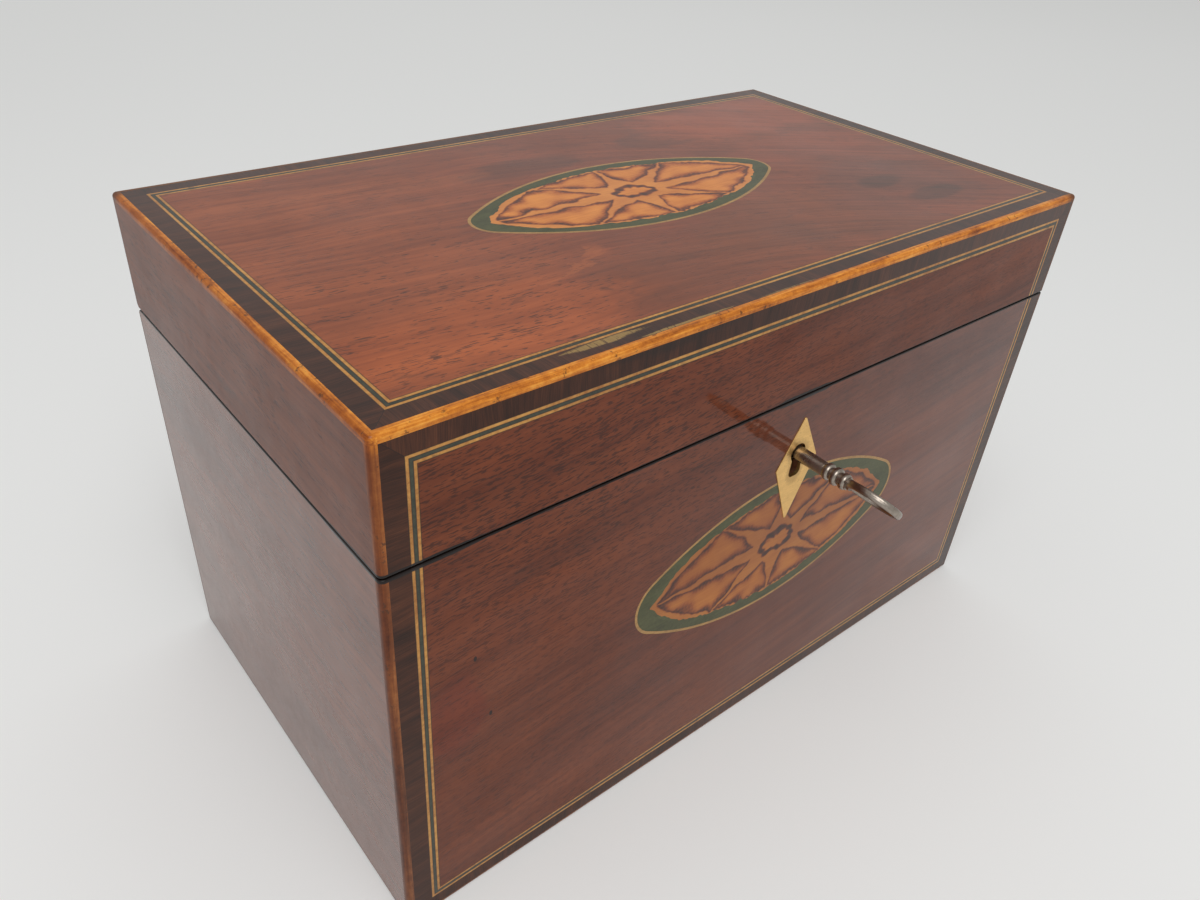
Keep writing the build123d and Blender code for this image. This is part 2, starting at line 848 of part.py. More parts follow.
def banded_panel(plane, outer, rails, open_side, form):
    """Crossbands, boxwood lines and green line inside a rectangle, and the field that they leave."""
    band = inset(outer, side_band, rails, open_side)
    first = inset(band, line_width, line_width, open_side)
    second = inset(first, line_width, line_width, open_side)
    third = inset(second, line_width, line_width, open_side)
    return {
        "crossbands": inlay(plane, border(outer, band, open_side), form),
        "boxwood_lines": inlay(plane, border(band, first, open_side) + border(second, third, open_side), form),
        "green_lines": inlay(plane, border(first, second, open_side), form),
        "field": third,
    }


def field_veneer(plane, rectangle, form, *cutters):
    return cut(inlay(plane, [polygon(*corners_of(rectangle))], form), *cutters)


def plain_veneers(z_low, z_high, form, *cutters):
    """The undecorated veneers of the two sides and the back."""
    x, y = half_width - edging, half_depth - edging
    sheets = [
        block(board_x, half_width, -y, y, z_low, z_high),
        block(-half_width, -board_x, -y, y, z_low, z_high),
        block(-x, x, board_y, half_depth, z_low, z_high),
    ]
    return cut([sheet & form for sheet in sheets], *cutters)


# The box

def box_parts():
    form = rounded_form(0, box_skin_head, base_round, seam_round)
    seam = seam_cutter()
    bevel = bevel_cutter()
    corners = corner_edging(base_edging, box_skin_head)
    rails = level_edging(0, base_edging)
    edges = corner_edging(0, seam_height) + rails
    keyhole = keyhole_cutter()
    screw_places = lock_screw_places() + plate_screw_places(-1)
    lock_holes = lock_pocket() + [place * screw_hole() for place in screw_places]
    x = half_width - edging
    panel = banded_panel(FRONT, (-x, base_edging, x, box_skin_head), base_band, "high", form)
    diamond = escutcheon_blank(veneer + overrun)
    patera = patera_pieces(front_patera_place(), front_patera_end_radius, [diamond])
    outline = front_patera_place() * patera_outline(front_patera_end_radius)
    patera_hole = extrude(outline, amount=veneer + overrun)

    def wall(*limits):
        return [block(*limits, 0, seam_height)]

    parts = {
        "box_front_board": cut(wall(-board_x, board_x, -board_y, -inner_y), seam, keyhole, *edges, *lock_holes),
        "box_back_board": cut(wall(-board_x, board_x, inner_y, board_y), seam, bevel, *edges, *hinge_recess(-1)),
        "box_left_board": cut(wall(-board_x, -inner_x, -inner_y, inner_y), seam, *edges),
        "box_right_board": cut(wall(inner_x, board_x, -inner_y, inner_y), seam, *edges),
        "box_bottom_board": solids_of(block(-inner_x, inner_x, -inner_y, inner_y, 0, bottom_board)),
        "box_front_veneer": field_veneer(FRONT, panel["field"], form, patera_hole, diamond, keyhole),
        "box_plain_veneers": plain_veneers(base_edging, box_skin_head, form, bevel, *hinge_recess(-1)),
        "box_crossbands": panel["crossbands"],
        "box_boxwood_lines": panel["boxwood_lines"],
        "box_green_lines": panel["green_lines"],
        "box_edging": cut([strip & form for strip in corners + rails], bevel),
        "escutcheon": escutcheon(),
        "hinge_box_leaves": hinge_leaves(-1),
        "hinge_pins": hinge_pins(),
        "lock_case": lock_case(),
        "lock_cap": lock_cap_plate(),
        "lock_selvedge": selvedge_plate(),
        "box_screws": hinge_screws(-1) + lock_screws() + plate_screws(-1),
        "lock_drill_pin": lock_drill_pin(),
        "lock_spring": lock_spring(),
        "lock_bolt": lock_bolt(),
    }
    for name, pieces in patera.items():
        parts["front_patera_" + name] = pieces
    return parts


# What is fitted inside

def compartment(side):
    """Left, low, right and high limits of a tea compartment in plan."""
    left, right = sorted((side * well_x, side * inner_x))
    return (left, -inner_y, right, inner_y)


def partitions():
    return solids_of(*[block(*sorted((side * bay_x, side * well_x)), -inner_y, inner_y, bottom_board, fitting_top)
                       for side in (-1, 1)])


def cover_ledges():
    """Strips round each compartment that its cover rests on."""
    level = Plane.XY.offset(ledge_bottom)
    strips = []
    for side in (-1, 1):
        outer = compartment(side)
        strips += [extrude(level * face, amount=ledge) for face in border(outer, inset(outer, ledge, ledge))]
    return solids_of(*strips)


def deck_ledges():
    strips = []
    for side in (-1, 1):
        x_limits = sorted((side * bay_x, side * (bay_x - ledge)))
        strips.append(block(*x_limits, -inner_y, inner_y, deck_bottom - ledge, deck_bottom))
    return solids_of(*strips)


def foil_linings():
    """Thin foil against the walls and floor of each compartment, below its ledges."""
    linings = []
    for side in (-1, 1):
        left, low, right, high = compartment(side)
        lining = block(left, right, low, high, bottom_board, ledge_bottom)
        lining -= block(left + foil, right - foil, low + foil, high - foil,
                        bottom_board + foil, ledge_bottom + overrun)
        linings.append(lining)
    return solids_of(*linings)


def bowl_deck():
    """The board across the middle bay, with a round hole for the bowl."""
    x, y = bay_x - deck_clearance, inner_y - deck_clearance
    deck = block(-x, x, -y, y, deck_bottom, fitting_top)
    hole = Pos(0, 0, (deck_bottom + fitting_top) / 2) * Cylinder(bowl_hole_radius, 2 * deck_thickness)
    return solids_of(deck - hole)


def cover_outline(side):
    return inset(compartment(side), cover_clearance, cover_clearance)


def cover_middle(side):
    return side * (well_x + inner_x) / 2


def cover_board(side):
    left, low, right, high = cover_outline(side)
    board = block(left, right, low, high, cover_bottom, fitting_top)
    board = fillet(board.faces().sort_by(Axis.Z)[-1].edges(), cover_round)
    board -= cover_line(side)
    board -= Pos(cover_middle(side), 0, fitting_top) * Cylinder(knob_spigot_radius, 2 * knob_spigot_length)
    return solids_of(board)


def cover_line(side):
    """A thin line let into the cover's face, parallel to its edge."""
    outer = inset(cover_outline(side), cover_line_inset, cover_line_inset)
    level = Plane.XY.offset(fitting_top - cover_line_depth)
    strips = border(outer, inset(outer, line_width, line_width))
    return solids_of(*[extrude(level * strip, amount=cover_line_depth) for strip in strips])


def cover_knob(side):
    """A turned knob: flange, waist and flattened ball, on a spigot."""
    corners = {
        (knob_flange_radius, knob_flange): knob_flange_round,
        (knob_waist_radius, knob_waist_height): knob_waist_round,
        (knob_ball_radius, knob_ball_height): knob_ball_round,
        (knob_crown_radius, knob_height - knob_crown_fall): knob_crown_round,
    }
    foot = [(0, -knob_spigot_length), (knob_spigot_radius, -knob_spigot_length),
            (knob_spigot_radius, 0), (knob_flange_radius, 0)]
    profile = polygon(*foot, *corners, (0, knob_height))
    for (radius, level), rounding in corners.items():
        corner = profile.vertices().sort_by_distance((radius, level))[0]
        profile = fillet(corner, rounding)
    return solids_of(Pos(cover_middle(side), 0, fitting_top) * revolve(Plane.XZ * profile, Axis.Z))


def glass_bowl():
    """A fluted mixing bowl that hangs by its rim in the deck's hole."""
    waist = bowl_hole_radius - bowl_clearance
    foot = waist - bowl_taper
    outside = polygon((0, -bowl_depth), (foot, -bowl_depth), (waist, 0), (bowl_rim_radius, 0),
                      (bowl_rim_radius, bowl_rim_height), (0, bowl_rim_height))
    body = revolve(Plane.XZ * outside, Axis.Z)
    heel = body.edges().filter_by(GeomType.CIRCLE).group_by(Axis.Z)[0]
    body = fillet(heel, bowl_heel_round)
    body -= bowl_flutes(waist)
    inside = polygon((0, bowl_floor - bowl_depth), (foot - bowl_wall, bowl_floor - bowl_depth),
                     (waist - bowl_wall, 0), (bowl_rim_radius - bowl_wall, bowl_rim_height),
                     (0, bowl_rim_height))
    hollow = revolve(Plane.XZ * inside, Axis.Z)
    heel = hollow.edges().filter_by(GeomType.CIRCLE).group_by(Axis.Z)[0]
    hollow = fillet(heel, bowl_heel_round - bowl_wall)
    body -= hollow
    return solids_of(Pos(0, 0, fitting_top) * body)


def bowl_flutes(waist):
    """Shallow upright hollows ground round the bowl below its rim."""
    lean = math.degrees(math.atan2(bowl_taper, bowl_depth))
    top = -flute_head
    length = bowl_depth - flute_head - flute_foot
    middle = top - length / 2
    out = waist + middle * bowl_taper / bowl_depth + flute_radius - flute_depth
    tool = Pos(out, 0, middle) * Rot(0, lean, 0) * Cylinder(flute_radius, length)
    return [Rot(0, 0, turn * 360 / flutes) * tool for turn in range(flutes)]


def fitting_parts():
    parts = {
        "partitions": partitions(),
        "ledges": cover_ledges() + deck_ledges(),
        "foil_linings": foil_linings(),
        "bowl_deck": bowl_deck(),
        "glass_bowl": glass_bowl(),
    }
    for name, side in (("left", -1), ("right", 1)):
        parts[name + "_cover_board"] = cover_board(side)
        parts[name + "_cover_line"] = cover_line(side)
        parts[name + "_cover_knob"] = cover_knob(side)
    return parts


# The lid

def lid_parts():
    form = rounded_form(lid_skin_foot, height, seam_round, arris_round)
    seam = seam_cutter()
    bevel = bevel_cutter()
    rails_foot = height - edging
    corners = corner_edging(lid_skin_foot, rails_foot)
    rails = level_edging(rails_foot, edging)
    edges = corner_edging(seam_height, height) + rails
    x, y = half_width - edging, half_depth - edging
    front = banded_panel(FRONT, (-x, lid_skin_foot, x, rails_foot), rail_band, "low", form)
    top = banded_panel(TOP, (-x, -y, x, y), rail_band, None, form)
    patera = patera_pieces(lid_patera_place(), lid_patera_end_radius)
    outline = lid_patera_place() * patera_outline(lid_patera_end_radius)
    patera_hole = extrude(outline, amount=veneer + overrun)
    lining_x, lining_y = inner_x - lining_clearance, inner_y - lining_clearance

    def wall(*limits):
        return [block(*limits, seam_height, roof)]

    parts = {
        "lid_front_board": cut(wall(-board_x, board_x, -board_y, -inner_y), seam, *edges, *link_recess()),
        "lid_back_board": cut(wall(-board_x, board_x, inner_y, board_y), seam, bevel, *edges, *hinge_recess(1)),
        "lid_left_board": cut(wall(-board_x, -inner_x, -inner_y, inner_y), seam, *edges),
        "lid_right_board": cut(wall(inner_x, board_x, -inner_y, inner_y), seam, *edges),
        "lid_top_board": cut([block(-board_x, board_x, -board_y, board_y, roof, height - veneer)], *edges),
        "lid_lining": solids_of(block(-lining_x, lining_x, -lining_y, lining_y, roof - lining_board, roof)),
        "lid_top_veneer": field_veneer(TOP, top["field"], None, patera_hole),
        "lid_front_veneer": field_veneer(FRONT, front["field"], form),
        "lid_plain_veneers": plain_veneers(lid_skin_foot, rails_foot, form, bevel, *hinge_recess(1)),
        "lid_crossbands": top["crossbands"] + front["crossbands"],
        "lid_boxwood_lines": top["boxwood_lines"] + front["boxwood_lines"],
        "lid_green_lines": top["green_lines"] + front["green_lines"],
        "lid_edging": cut([strip & form for strip in corners + rails], bevel),
        "hinge_lid_leaves": hinge_leaves(1),
        "link_plate": link_plate(),
        "link_hooks": link_hooks(),
        "lid_screws": hinge_screws(1) + plate_screws(1),
    }
    for name, pieces in patera.items():
        parts["lid_patera_" + name] = pieces
    return parts


def write(name, solids):
    """One file for one sub-part; like pieces share it as separate solids."""
    shape = solids[0] if len(solids) == 1 else Compound(children=solids)
    shape.label = name
    export_step(shape, os.path.join("parts", name + ".step"))


os.makedirs("parts", exist_ok=True)
all_parts = {}
for group in (box_parts(), fitting_parts(), lid_parts(), {"key": key()}):
    all_parts.update(group)
for part_name, part_solids in all_parts.items():
    write(part_name, part_solids)
print(len(all_parts), "sub-parts,", sum(len(solids) for solids in all_parts.values()), "solids")
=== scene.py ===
import math
from collections import namedtuple

import bpy
import numpy as np
from mathutils import Matrix, Vector


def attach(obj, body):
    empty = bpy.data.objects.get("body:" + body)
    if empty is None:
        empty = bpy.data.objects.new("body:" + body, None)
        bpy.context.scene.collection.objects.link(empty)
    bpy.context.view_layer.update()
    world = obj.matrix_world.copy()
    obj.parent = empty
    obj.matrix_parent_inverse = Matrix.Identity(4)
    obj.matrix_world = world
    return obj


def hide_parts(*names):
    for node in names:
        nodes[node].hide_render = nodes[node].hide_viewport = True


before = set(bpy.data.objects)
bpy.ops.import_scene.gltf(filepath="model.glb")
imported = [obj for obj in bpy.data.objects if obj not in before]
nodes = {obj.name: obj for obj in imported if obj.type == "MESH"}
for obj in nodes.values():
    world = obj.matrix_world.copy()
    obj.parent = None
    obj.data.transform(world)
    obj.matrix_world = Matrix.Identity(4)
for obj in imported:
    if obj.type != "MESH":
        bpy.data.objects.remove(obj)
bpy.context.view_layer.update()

# The part's sizes in millimetres, as in the solids: X to the right, Y to the back, Z up
HALF_WIDTH = 130.0
HALF_DEPTH = 73.5
HEIGHT = 162.5
SEAM = 127.5
EDGING = 2.0
SIDE_BAND = 5.3
RAIL_BAND = 4.8
BASE_EDGING = 1.0
BASE_BAND = 4.2
LINE = 0.9
LINES = 3 * LINE
VENEER = 0.8
GROUND_HALF_LENGTH = 52.9
GROUND_HALF_HEIGHT = 20.6
LEAF_LEVEL = 0.3
LEAF_TURN = (0.9, 0.66)
LID_PATERA = (0.0, 2.0)
FRONT_PATERA = (2.9, 74.7)
PLATE_MIDDLE = (4.4, 101.0)
PLATE_HALF_WIDTH = 8.9
PLATE_HALF_HEIGHT = 18.8
PLATE_RISE = 2.6
KEYHOLE = (4.0, 107.4)
KEYHOLE_SLOT = (4.0, 101.0)

# The bands' inner edges, measured from the part's middle or its base
BAND_INNER_X = HALF_WIDTH - EDGING - SIDE_BAND
TOP_INNER_Y = HALF_DEPTH - EDGING - RAIL_BAND
LID_INNER_Z = HEIGHT - EDGING - RAIL_BAND
BASE_INNER_Z = BASE_EDGING + BASE_BAND

# How far below a face a point still counts as on it
SKIN_MARGIN = 0.05
STRIP_MARGIN = 0.02

# How the inlays' sheets are meshed, and how near the middle their eye lies
SHEET_COLUMNS = 420
SHEET_ROWS = 150
SHEET_DEPTH = VENEER * 0.9
EYE_REACH = 2.0

# Colours that several materials share
# Near-black for dark joints, nicks and wear, and for the painted shadow along the seam's gap
JOINT_DIRT_AND_SHADE = (0.012, 0.008, 0.007)
BAND_GREENS = ((0.034, 0.037, 0.008), (0.074, 0.078, 0.022))
CARCASS = ((0.115, 0.042, 0.020), (0.235, 0.100, 0.048))

# The studio, in metres
FLOOR_REACH = 4.0
FLOOR_DROP = 0.0002
WORLD_STRENGTH = 0.57
LAMP_PLACE = (-0.45, -0.65, 1.35)
LAMP_TARGET = (0.0, 0.0, 0.08)
LAMP_SIZE = 1.0
LAMP_POWER = 10.5
PHOTO_WIDTH = 1200.0
FOCAL_PIXELS = 951.51
SENSOR_WIDTH = 36.0


class Paint:
    """One material's nodes, with short helpers that take sockets or numbers."""

    def __init__(self, name):
        self.material = bpy.data.materials.new(name)
        self.material.use_nodes = True
        self.tree = self.material.node_tree
        self.tree.nodes.clear()
        self.output = self.add("ShaderNodeOutputMaterial")
        coordinates = self.add("ShaderNodeTexCoord")
        self.place = self.vector("SCALE", coordinates.outputs["Object"], scale=1000.0)
        self.x, self.y, self.z = self.split(self.place)

    def add(self, kind, **settings):
        node = self.tree.nodes.new(kind)
        for key, value in settings.items():
            setattr(node, key, value)
        return node

    def put(self, value, socket):
        if isinstance(value, bpy.types.NodeSocket):
            self.tree.links.new(value, socket)
        elif isinstance(value, (tuple, list)) and len(value) == 3 and socket.type == "RGBA":
            socket.default_value = (*value, 1.0)
        else:
            socket.default_value = value

    def math(self, operation, a, b=0.0):
        node = self.add("ShaderNodeMath", operation=operation)
        for value, socket in zip((a, b), node.inputs):
            self.put(value, socket)
        return node.outputs[0]

    def plus(self, a, b):
        return self.math("ADD", a, b)

    def minus(self, a, b):
        return self.math("SUBTRACT", a, b)

    def times(self, a, b):
        return self.math("MULTIPLY", a, b)

    def highest(self, a, b):
        return self.math("MAXIMUM", a, b)

    def size(self, a):
        return self.math("ABSOLUTE", a)

    def above(self, a, b):
        return self.math("GREATER_THAN", a, b)

    def vector(self, operation, a, b=(0, 0, 0), scale=1.0):
        node = self.add("ShaderNodeVectorMath", operation=operation)
        self.put(a, node.inputs[0])
        if operation == "SCALE":
            self.put(scale, node.inputs["Scale"])
        else:
            self.put(b, node.inputs[1])
        return node.outputs[0]

    def split(self, vector):
        node = self.add("ShaderNodeSeparateXYZ")
        self.put(vector, node.inputs[0])
        return node.outputs[0], node.outputs[1], node.outputs[2]

    def join(self, x, y, z):
        node = self.add("ShaderNodeCombineXYZ")
        for value, socket in zip((x, y, z), node.inputs):
            self.put(value, socket)
        return node.outputs[0]

    def smooth(self, value, low, high, start=0.0, end=1.0):
        node = self.add("ShaderNodeMapRange", interpolation_type="SMOOTHSTEP")
        for item, socket in zip((value, low, high, start, end), node.inputs):
            self.put(item, socket)
        return node.outputs[0]

    def linear(self, value, low, high, start=0.0, end=1.0):
        node = self.add("ShaderNodeMapRange", clamp=True)
        for item, socket in zip((value, low, high, start, end), node.inputs):
            self.put(item, socket)
        return node.outputs[0]

    def mix(self, share, a, b, blend="MIX"):
        """Colour a where share is 0, and b where it is 1."""
        node = self.add("ShaderNodeMix", data_type="RGBA", blend_type=blend, clamp_factor=True)
        self.put(share, node.inputs[0])
        self.put(a, node.inputs[6])
        self.put(b, node.inputs[7])
        return node.outputs[2]

    def tinted(self, colour, tint):
        return self.mix(1.0, colour, tint, blend="MULTIPLY")

    def blend(self, share, a, b):
        """Number a where share is 0, and b where it is 1."""
        node = self.add("ShaderNodeMix", data_type="FLOAT", clamp_factor=True)
        self.put(share, node.inputs[0])
        self.put(a, node.inputs[2])
        self.put(b, node.inputs[3])
        return node.outputs[0]

    def textured(self, kind, at, steps, seed):
        """A texture node whose lumps are about steps (x, y, z) millimetres across."""
        scaled = self.vector("MULTIPLY", at, tuple(1.0 / step for step in steps))
        moved = self.vector("ADD", scaled, (seed * 7.31, seed * 3.77, seed * 5.13))
        node = self.add(kind)
        self.put(moved, node.inputs["Vector"])
        node.inputs["Scale"].default_value = 1.0
        return node

    def noise(self, at, steps, detail=2.0, rough=0.5, twist=0.0, seed=0.0):
        node = self.textured("ShaderNodeTexNoise", at, steps, seed)
        node.inputs["Detail"].default_value = detail
        node.inputs["Roughness"].default_value = rough
        node.inputs["Distortion"].default_value = twist
        return node.outputs[0]

    def cells(self, at, steps, seed=0.0):
        return self.textured("ShaderNodeTexVoronoi", at, steps, seed).outputs["Distance"]

    def ramp(self, share, *stops):
        """A colour ramp; each stop is a place from 0 to 1 and its colour."""
        node = self.add("ShaderNodeValToRGB")
        self.put(share, node.inputs[0])
        band = node.color_ramp
        while len(band.elements) < len(stops):
            band.elements.new(0.5)
        for element, (place, colour) in zip(band.elements, stops):
            element.position = place
            element.color = (*colour, 1.0)
        return node.outputs[0]

    def spot(self, a, b, centre, radii, rough=0.0, grain=None):
        """1 inside an ellipse round a centre, falling to 0 outside it; noise roughens its edge."""
        p = self.times(self.minus(a, centre[0]), 1.0 / radii[0])
        q = self.times(self.minus(b, centre[1]), 1.0 / radii[1])
        far = self.plus(self.times(p, p), self.times(q, q))
        if grain is not None:
            far = self.plus(far, self.times(self.minus(grain, 0.5), rough))
        return self.smooth(far, 1.3, 0.5)

    def bump(self, height, millimetres):
        node = self.add("ShaderNodeBump")
        node.inputs["Strength"].default_value = 1.0
        node.inputs["Distance"].default_value = millimetres / 1000.0
        self.put(height, node.inputs["Height"])
        return node.outputs[0]

    def on_top(self):
        """1 on the lid's top face, 0 on the front and sides."""
        return self.above(self.z, HEIGHT - VENEER - SKIN_MARGIN)

    def finish(self, colour, roughness, normal=None, coat=0.0, coat_rough=0.06, coat_normal=None,
               metallic=0.0, specular=0.5, **others):
        """Ends the material in one Principled shader."""
        shader = self.add("ShaderNodeBsdfPrincipled")
        values = {"Base Color": colour, "Roughness": roughness, "Metallic": metallic,
                  "Specular IOR Level": specular, "Coat Weight": coat, "Coat Roughness": coat_rough,
                  "Coat IOR": 1.5, "Normal": normal, "Coat Normal": coat_normal}
        values.update(others)
        for key, value in values.items():
            if value is not None:
                self.put(value, shader.inputs[key])
        self.put(shader.outputs[0], self.output.inputs["Surface"])
        return self.material


# Woods

Layers = namedtuple("Layers", "figure streak thread mottle pores")


def polish(p, colour, relief, relief_depth, coat=1.0, coat_rough=0.055, specular=0.06, index=1.5):
    """French polish: a clear, very slightly rippled coat over the wood and its pores."""
    ripple = p.noise(p.place, (16, 16, 16), detail=1.0, seed=9)
    fine = p.noise(p.place, (2.6, 2.6, 2.6), detail=2.0, seed=4)
    surface = p.plus(ripple, p.times(fine, 0.05))
    wood_normal = p.bump(relief, relief_depth)
    coat_normal = p.bump(p.plus(surface, p.times(relief, 0.03)), 0.05)
    smear = p.noise(p.place, (30, 30, 30), detail=3.0, seed=2)
    roughness = p.linear(smear, 0.3, 0.7, 0.42, 0.58)
    return p.finish(colour, roughness, wood_normal, coat=coat, coat_rough=coat_rough,
                    coat_normal=coat_normal, specular=specular, **{"Coat IOR": index})


def grain_of(p, along, across, slant=0.0, wave=3.0, seed=0.0):
    """Millimetres along the grain, across it and into the wood, with the grain gently bent."""
    lean = math.radians(slant)
    a = p.plus(p.times(along, math.cos(lean)), p.times(across, math.sin(lean)))
    b = p.minus(p.times(across, math.cos(lean)), p.times(along, math.sin(lean)))
    bend = p.noise(p.join(a, b, seed * 11.0), (75, 42, 30), detail=1.5, seed=seed)
    b = p.plus(b, p.times(p.minus(bend, 0.5), 2 * wave))
    return p.join(a, b, seed * 17.0)


def mahogany_layers(p, at, seed, pore_share=1.0):
    """The parts that a mahogany colour is made of, each from 0 to 1."""
    figure = p.noise(at, (95, 13, 30), detail=2.5, rough=0.55, twist=0.5, seed=seed + 1)
    streak = p.noise(at, (42, 2.1, 10), detail=4.0, rough=0.62, twist=0.25, seed=seed + 2)
    thread = p.noise(at, (14, 0.7, 4), detail=3.0, rough=0.6, seed=seed + 3)
    mottle = p.noise(at, (9, 34, 20), detail=2.0, seed=seed + 4)
    dash = p.noise(at, (3.2, 0.50, 3), detail=1.0, rough=0.5, twist=0.2, seed=seed + 5)
    crowd = p.noise(at, (34, 7, 20), detail=2.0, seed=seed + 6)
    limit = p.linear(crowd, 0.35, 0.68, 0.66, 0.54)
    pores = p.smooth(dash, limit, p.plus(limit, 0.09))
    return Layers(figure, streak, thread, mottle, p.times(pores, pore_share))


def mahogany_tone(p, layers):
    tone = p.plus(p.times(layers.figure, 0.36), p.times(layers.streak, 0.38))
    tone = p.plus(tone, p.times(layers.thread, 0.15))
    tone = p.plus(tone, p.times(layers.mottle, 0.11))
    return p.linear(tone, 0.36, 0.63)


def wood_relief(p, layers, thread_share=0.3):
    """Raised threads of grain, with the pores sunk between them."""
    return p.minus(p.times(layers.thread, thread_share), layers.pores)


def seam_shade(p):
    """Painted shadow each side of the seam, where its gap lies in shade, thickest above the lock and at
    the front left corner.
    """
    jag = p.noise(p.place, (3.2, 3.2, 50), detail=3.0, seed=31)
    lock = p.spot(p.x, 0.0, (2.0, 0.0), (11.0, 1.0))
    corner = p.spot(p.x, p.y, (-130.0, -73.5), (24.0, 24.0))
    reach = p.plus(p.plus(0.34, p.times(jag, 0.4)), p.plus(p.times(lock, 0.5), p.times(corner, 0.45)))
    away = p.size(p.minus(p.z, SEAM))
    return p.smooth(away, p.plus(reach, 0.22), reach)


def darken(p, share, colour):
    return p.mix(share, colour, JOINT_DIRT_AND_SHADE)


def zones(p, colour, tone, cloud, a, b, table):
    """Lays soft patches over a colour: each has its middle, radii, strength and two colours."""
    for middle, radii, strength, dark, light in table:
        share = p.times(p.spot(a, b, middle, radii, 1.9, cloud), strength)
        colour = p.mix(share, colour, p.mix(tone, dark, light))
    return colour


TOP_ZONES = (
    # the dark, smoky field under and right of the oval
    ((-18, -50), (46, 19), 0.90, (0.118, 0.032, 0.013), (0.228, 0.057, 0.021)),
    ((32, -44), (46, 26), 0.85, (0.125, 0.037, 0.016), (0.262, 0.070, 0.028)),
    ((83, -36), (34, 24), 0.75, (0.092, 0.033, 0.019), (0.225, 0.060, 0.031)),
    ((79, -31), (11, 5), 0.75, (0.055, 0.026, 0.016), (0.125, 0.040, 0.024)),
    ((87, -47), (13, 5), 0.75, (0.055, 0.026, 0.016), (0.125, 0.040, 0.024)),
    # dark clouds above the oval
    ((-16, 36), (24, 8), 0.80, (0.090, 0.027, 0.013), (0.165, 0.044, 0.021)),
    ((41, 38), (20, 9), 0.80, (0.090, 0.028, 0.014), (0.168, 0.045, 0.022)),
    ((-58, 58), (40, 8), 0.50, (0.115, 0.030, 0.014), (0.200, 0.048, 0.021)),
    # pinker wood at the upper right
    ((92, 46), (50, 19), 0.75, (0.215, 0.048, 0.019), (0.380, 0.085, 0.032)),
    ((84, 9), (38, 12), 0.50, (0.195, 0.044, 0.018), (0.335, 0.074, 0.028)),
    # bright streaks at the left
    ((-86, -49), (42, 15), 0.70, (0.215, 0.043, 0.011), (0.430, 0.100, 0.024)),
    ((-92, 45), (34, 4), 0.60, (0.230, 0.056, 0.018), (0.370, 0.096, 0.030)),
    ((-52, 37), (24, 4), 0.50, (0.230, 0.056, 0.018), (0.350, 0.090, 0.030)),
)


def top_mahogany():
    p = Paint("top_mahogany_polished")
    reach = p.plus(p.x, 40.0)
    fan = p.linear(reach, 0.0, 100.0)
    lean = p.plus(p.times(p.times(fan, fan), 25.0),
                  p.times(p.highest(p.minus(reach, 100.0), 0.0), 0.5))
    fanned = p.plus(p.y, lean)
    at = grain_of(p, p.x, fanned, slant=-3.0, wave=5.0, seed=1.0)
    layers = mahogany_layers(p, at, seed=3.0)
    tone = mahogany_tone(p, layers)
    cloud = p.noise(p.join(p.x, fanned, 0.0), (24, 12, 20), detail=4.0, rough=0.62, twist=0.8, seed=5)
    warm = p.mix(tone, (0.165, 0.036, 0.012), (0.345, 0.085, 0.025))
    cool = p.mix(tone, (0.128, 0.031, 0.013), (0.275, 0.064, 0.024))
    edge = p.plus(p.x, p.times(p.minus(cloud, 0.5), 110.0))
    colour = p.mix(p.smooth(edge, -100.0, -12.0), warm, cool)
    colour = zones(p, colour, tone, cloud, p.x, p.y, TOP_ZONES)
    course = p.plus(-4.0, p.times(p.minus(cloud, 0.5), 30.0))
    ember = p.size(p.minus(p.minus(p.y, p.times(p.x, 0.55)), course))
    ember = p.times(p.smooth(ember, 2.6, 0.4), p.spot(p.x, p.y, (-52, -30), (17, 11)))
    colour = p.mix(p.times(ember, 0.45), colour, (0.400, 0.105, 0.028))
    smoke = p.noise(p.join(p.x, fanned, 5.0), (13, 4.5, 9), detail=4.0, rough=0.66, twist=1.6, seed=12)
    colour = p.mix(p.times(p.smooth(smoke, 0.57, 0.70), 0.42), colour, (0.062, 0.022, 0.012))
    bored = p.spot(p.x, p.y, (-85, -38), (42, 40), 1.4, cloud)
    pores = p.times(layers.pores, p.plus(0.30, p.times(bored, 0.38)))
    colour = p.mix(pores, colour, (0.035, 0.014, 0.010))
    inner = p.highest(p.minus(p.size(p.x), BAND_INNER_X - LINES),
                      p.minus(p.size(p.y), TOP_INNER_Y - LINES))
    colour = darken(p, p.times(p.smooth(inner, -0.22, 0.0), 0.7), colour)
    relief = wood_relief(p, layers)
    return polish(p, colour, relief, 0.03, coat=0.66)


FRONT_ZONES = (
    # warmer wood at the left and foot, a red stain beside the crossband, a dark right
    ((-60, 150), (62, 12), 0.45, (0.110, 0.022, 0.007), (0.200, 0.045, 0.014)),
    ((-112, 40), (22, 34), 0.40, (0.120, 0.026, 0.010), (0.205, 0.052, 0.018)),
    ((-66, 16), (60, 10), 0.40, (0.150, 0.034, 0.012), (0.265, 0.068, 0.022)),
    ((-113, 74), (9, 14), 0.60, (0.100, 0.014, 0.006), (0.170, 0.026, 0.010)),
    ((88, 112), (36, 12), 0.40, (0.060, 0.016, 0.010), (0.110, 0.030, 0.017)),
)


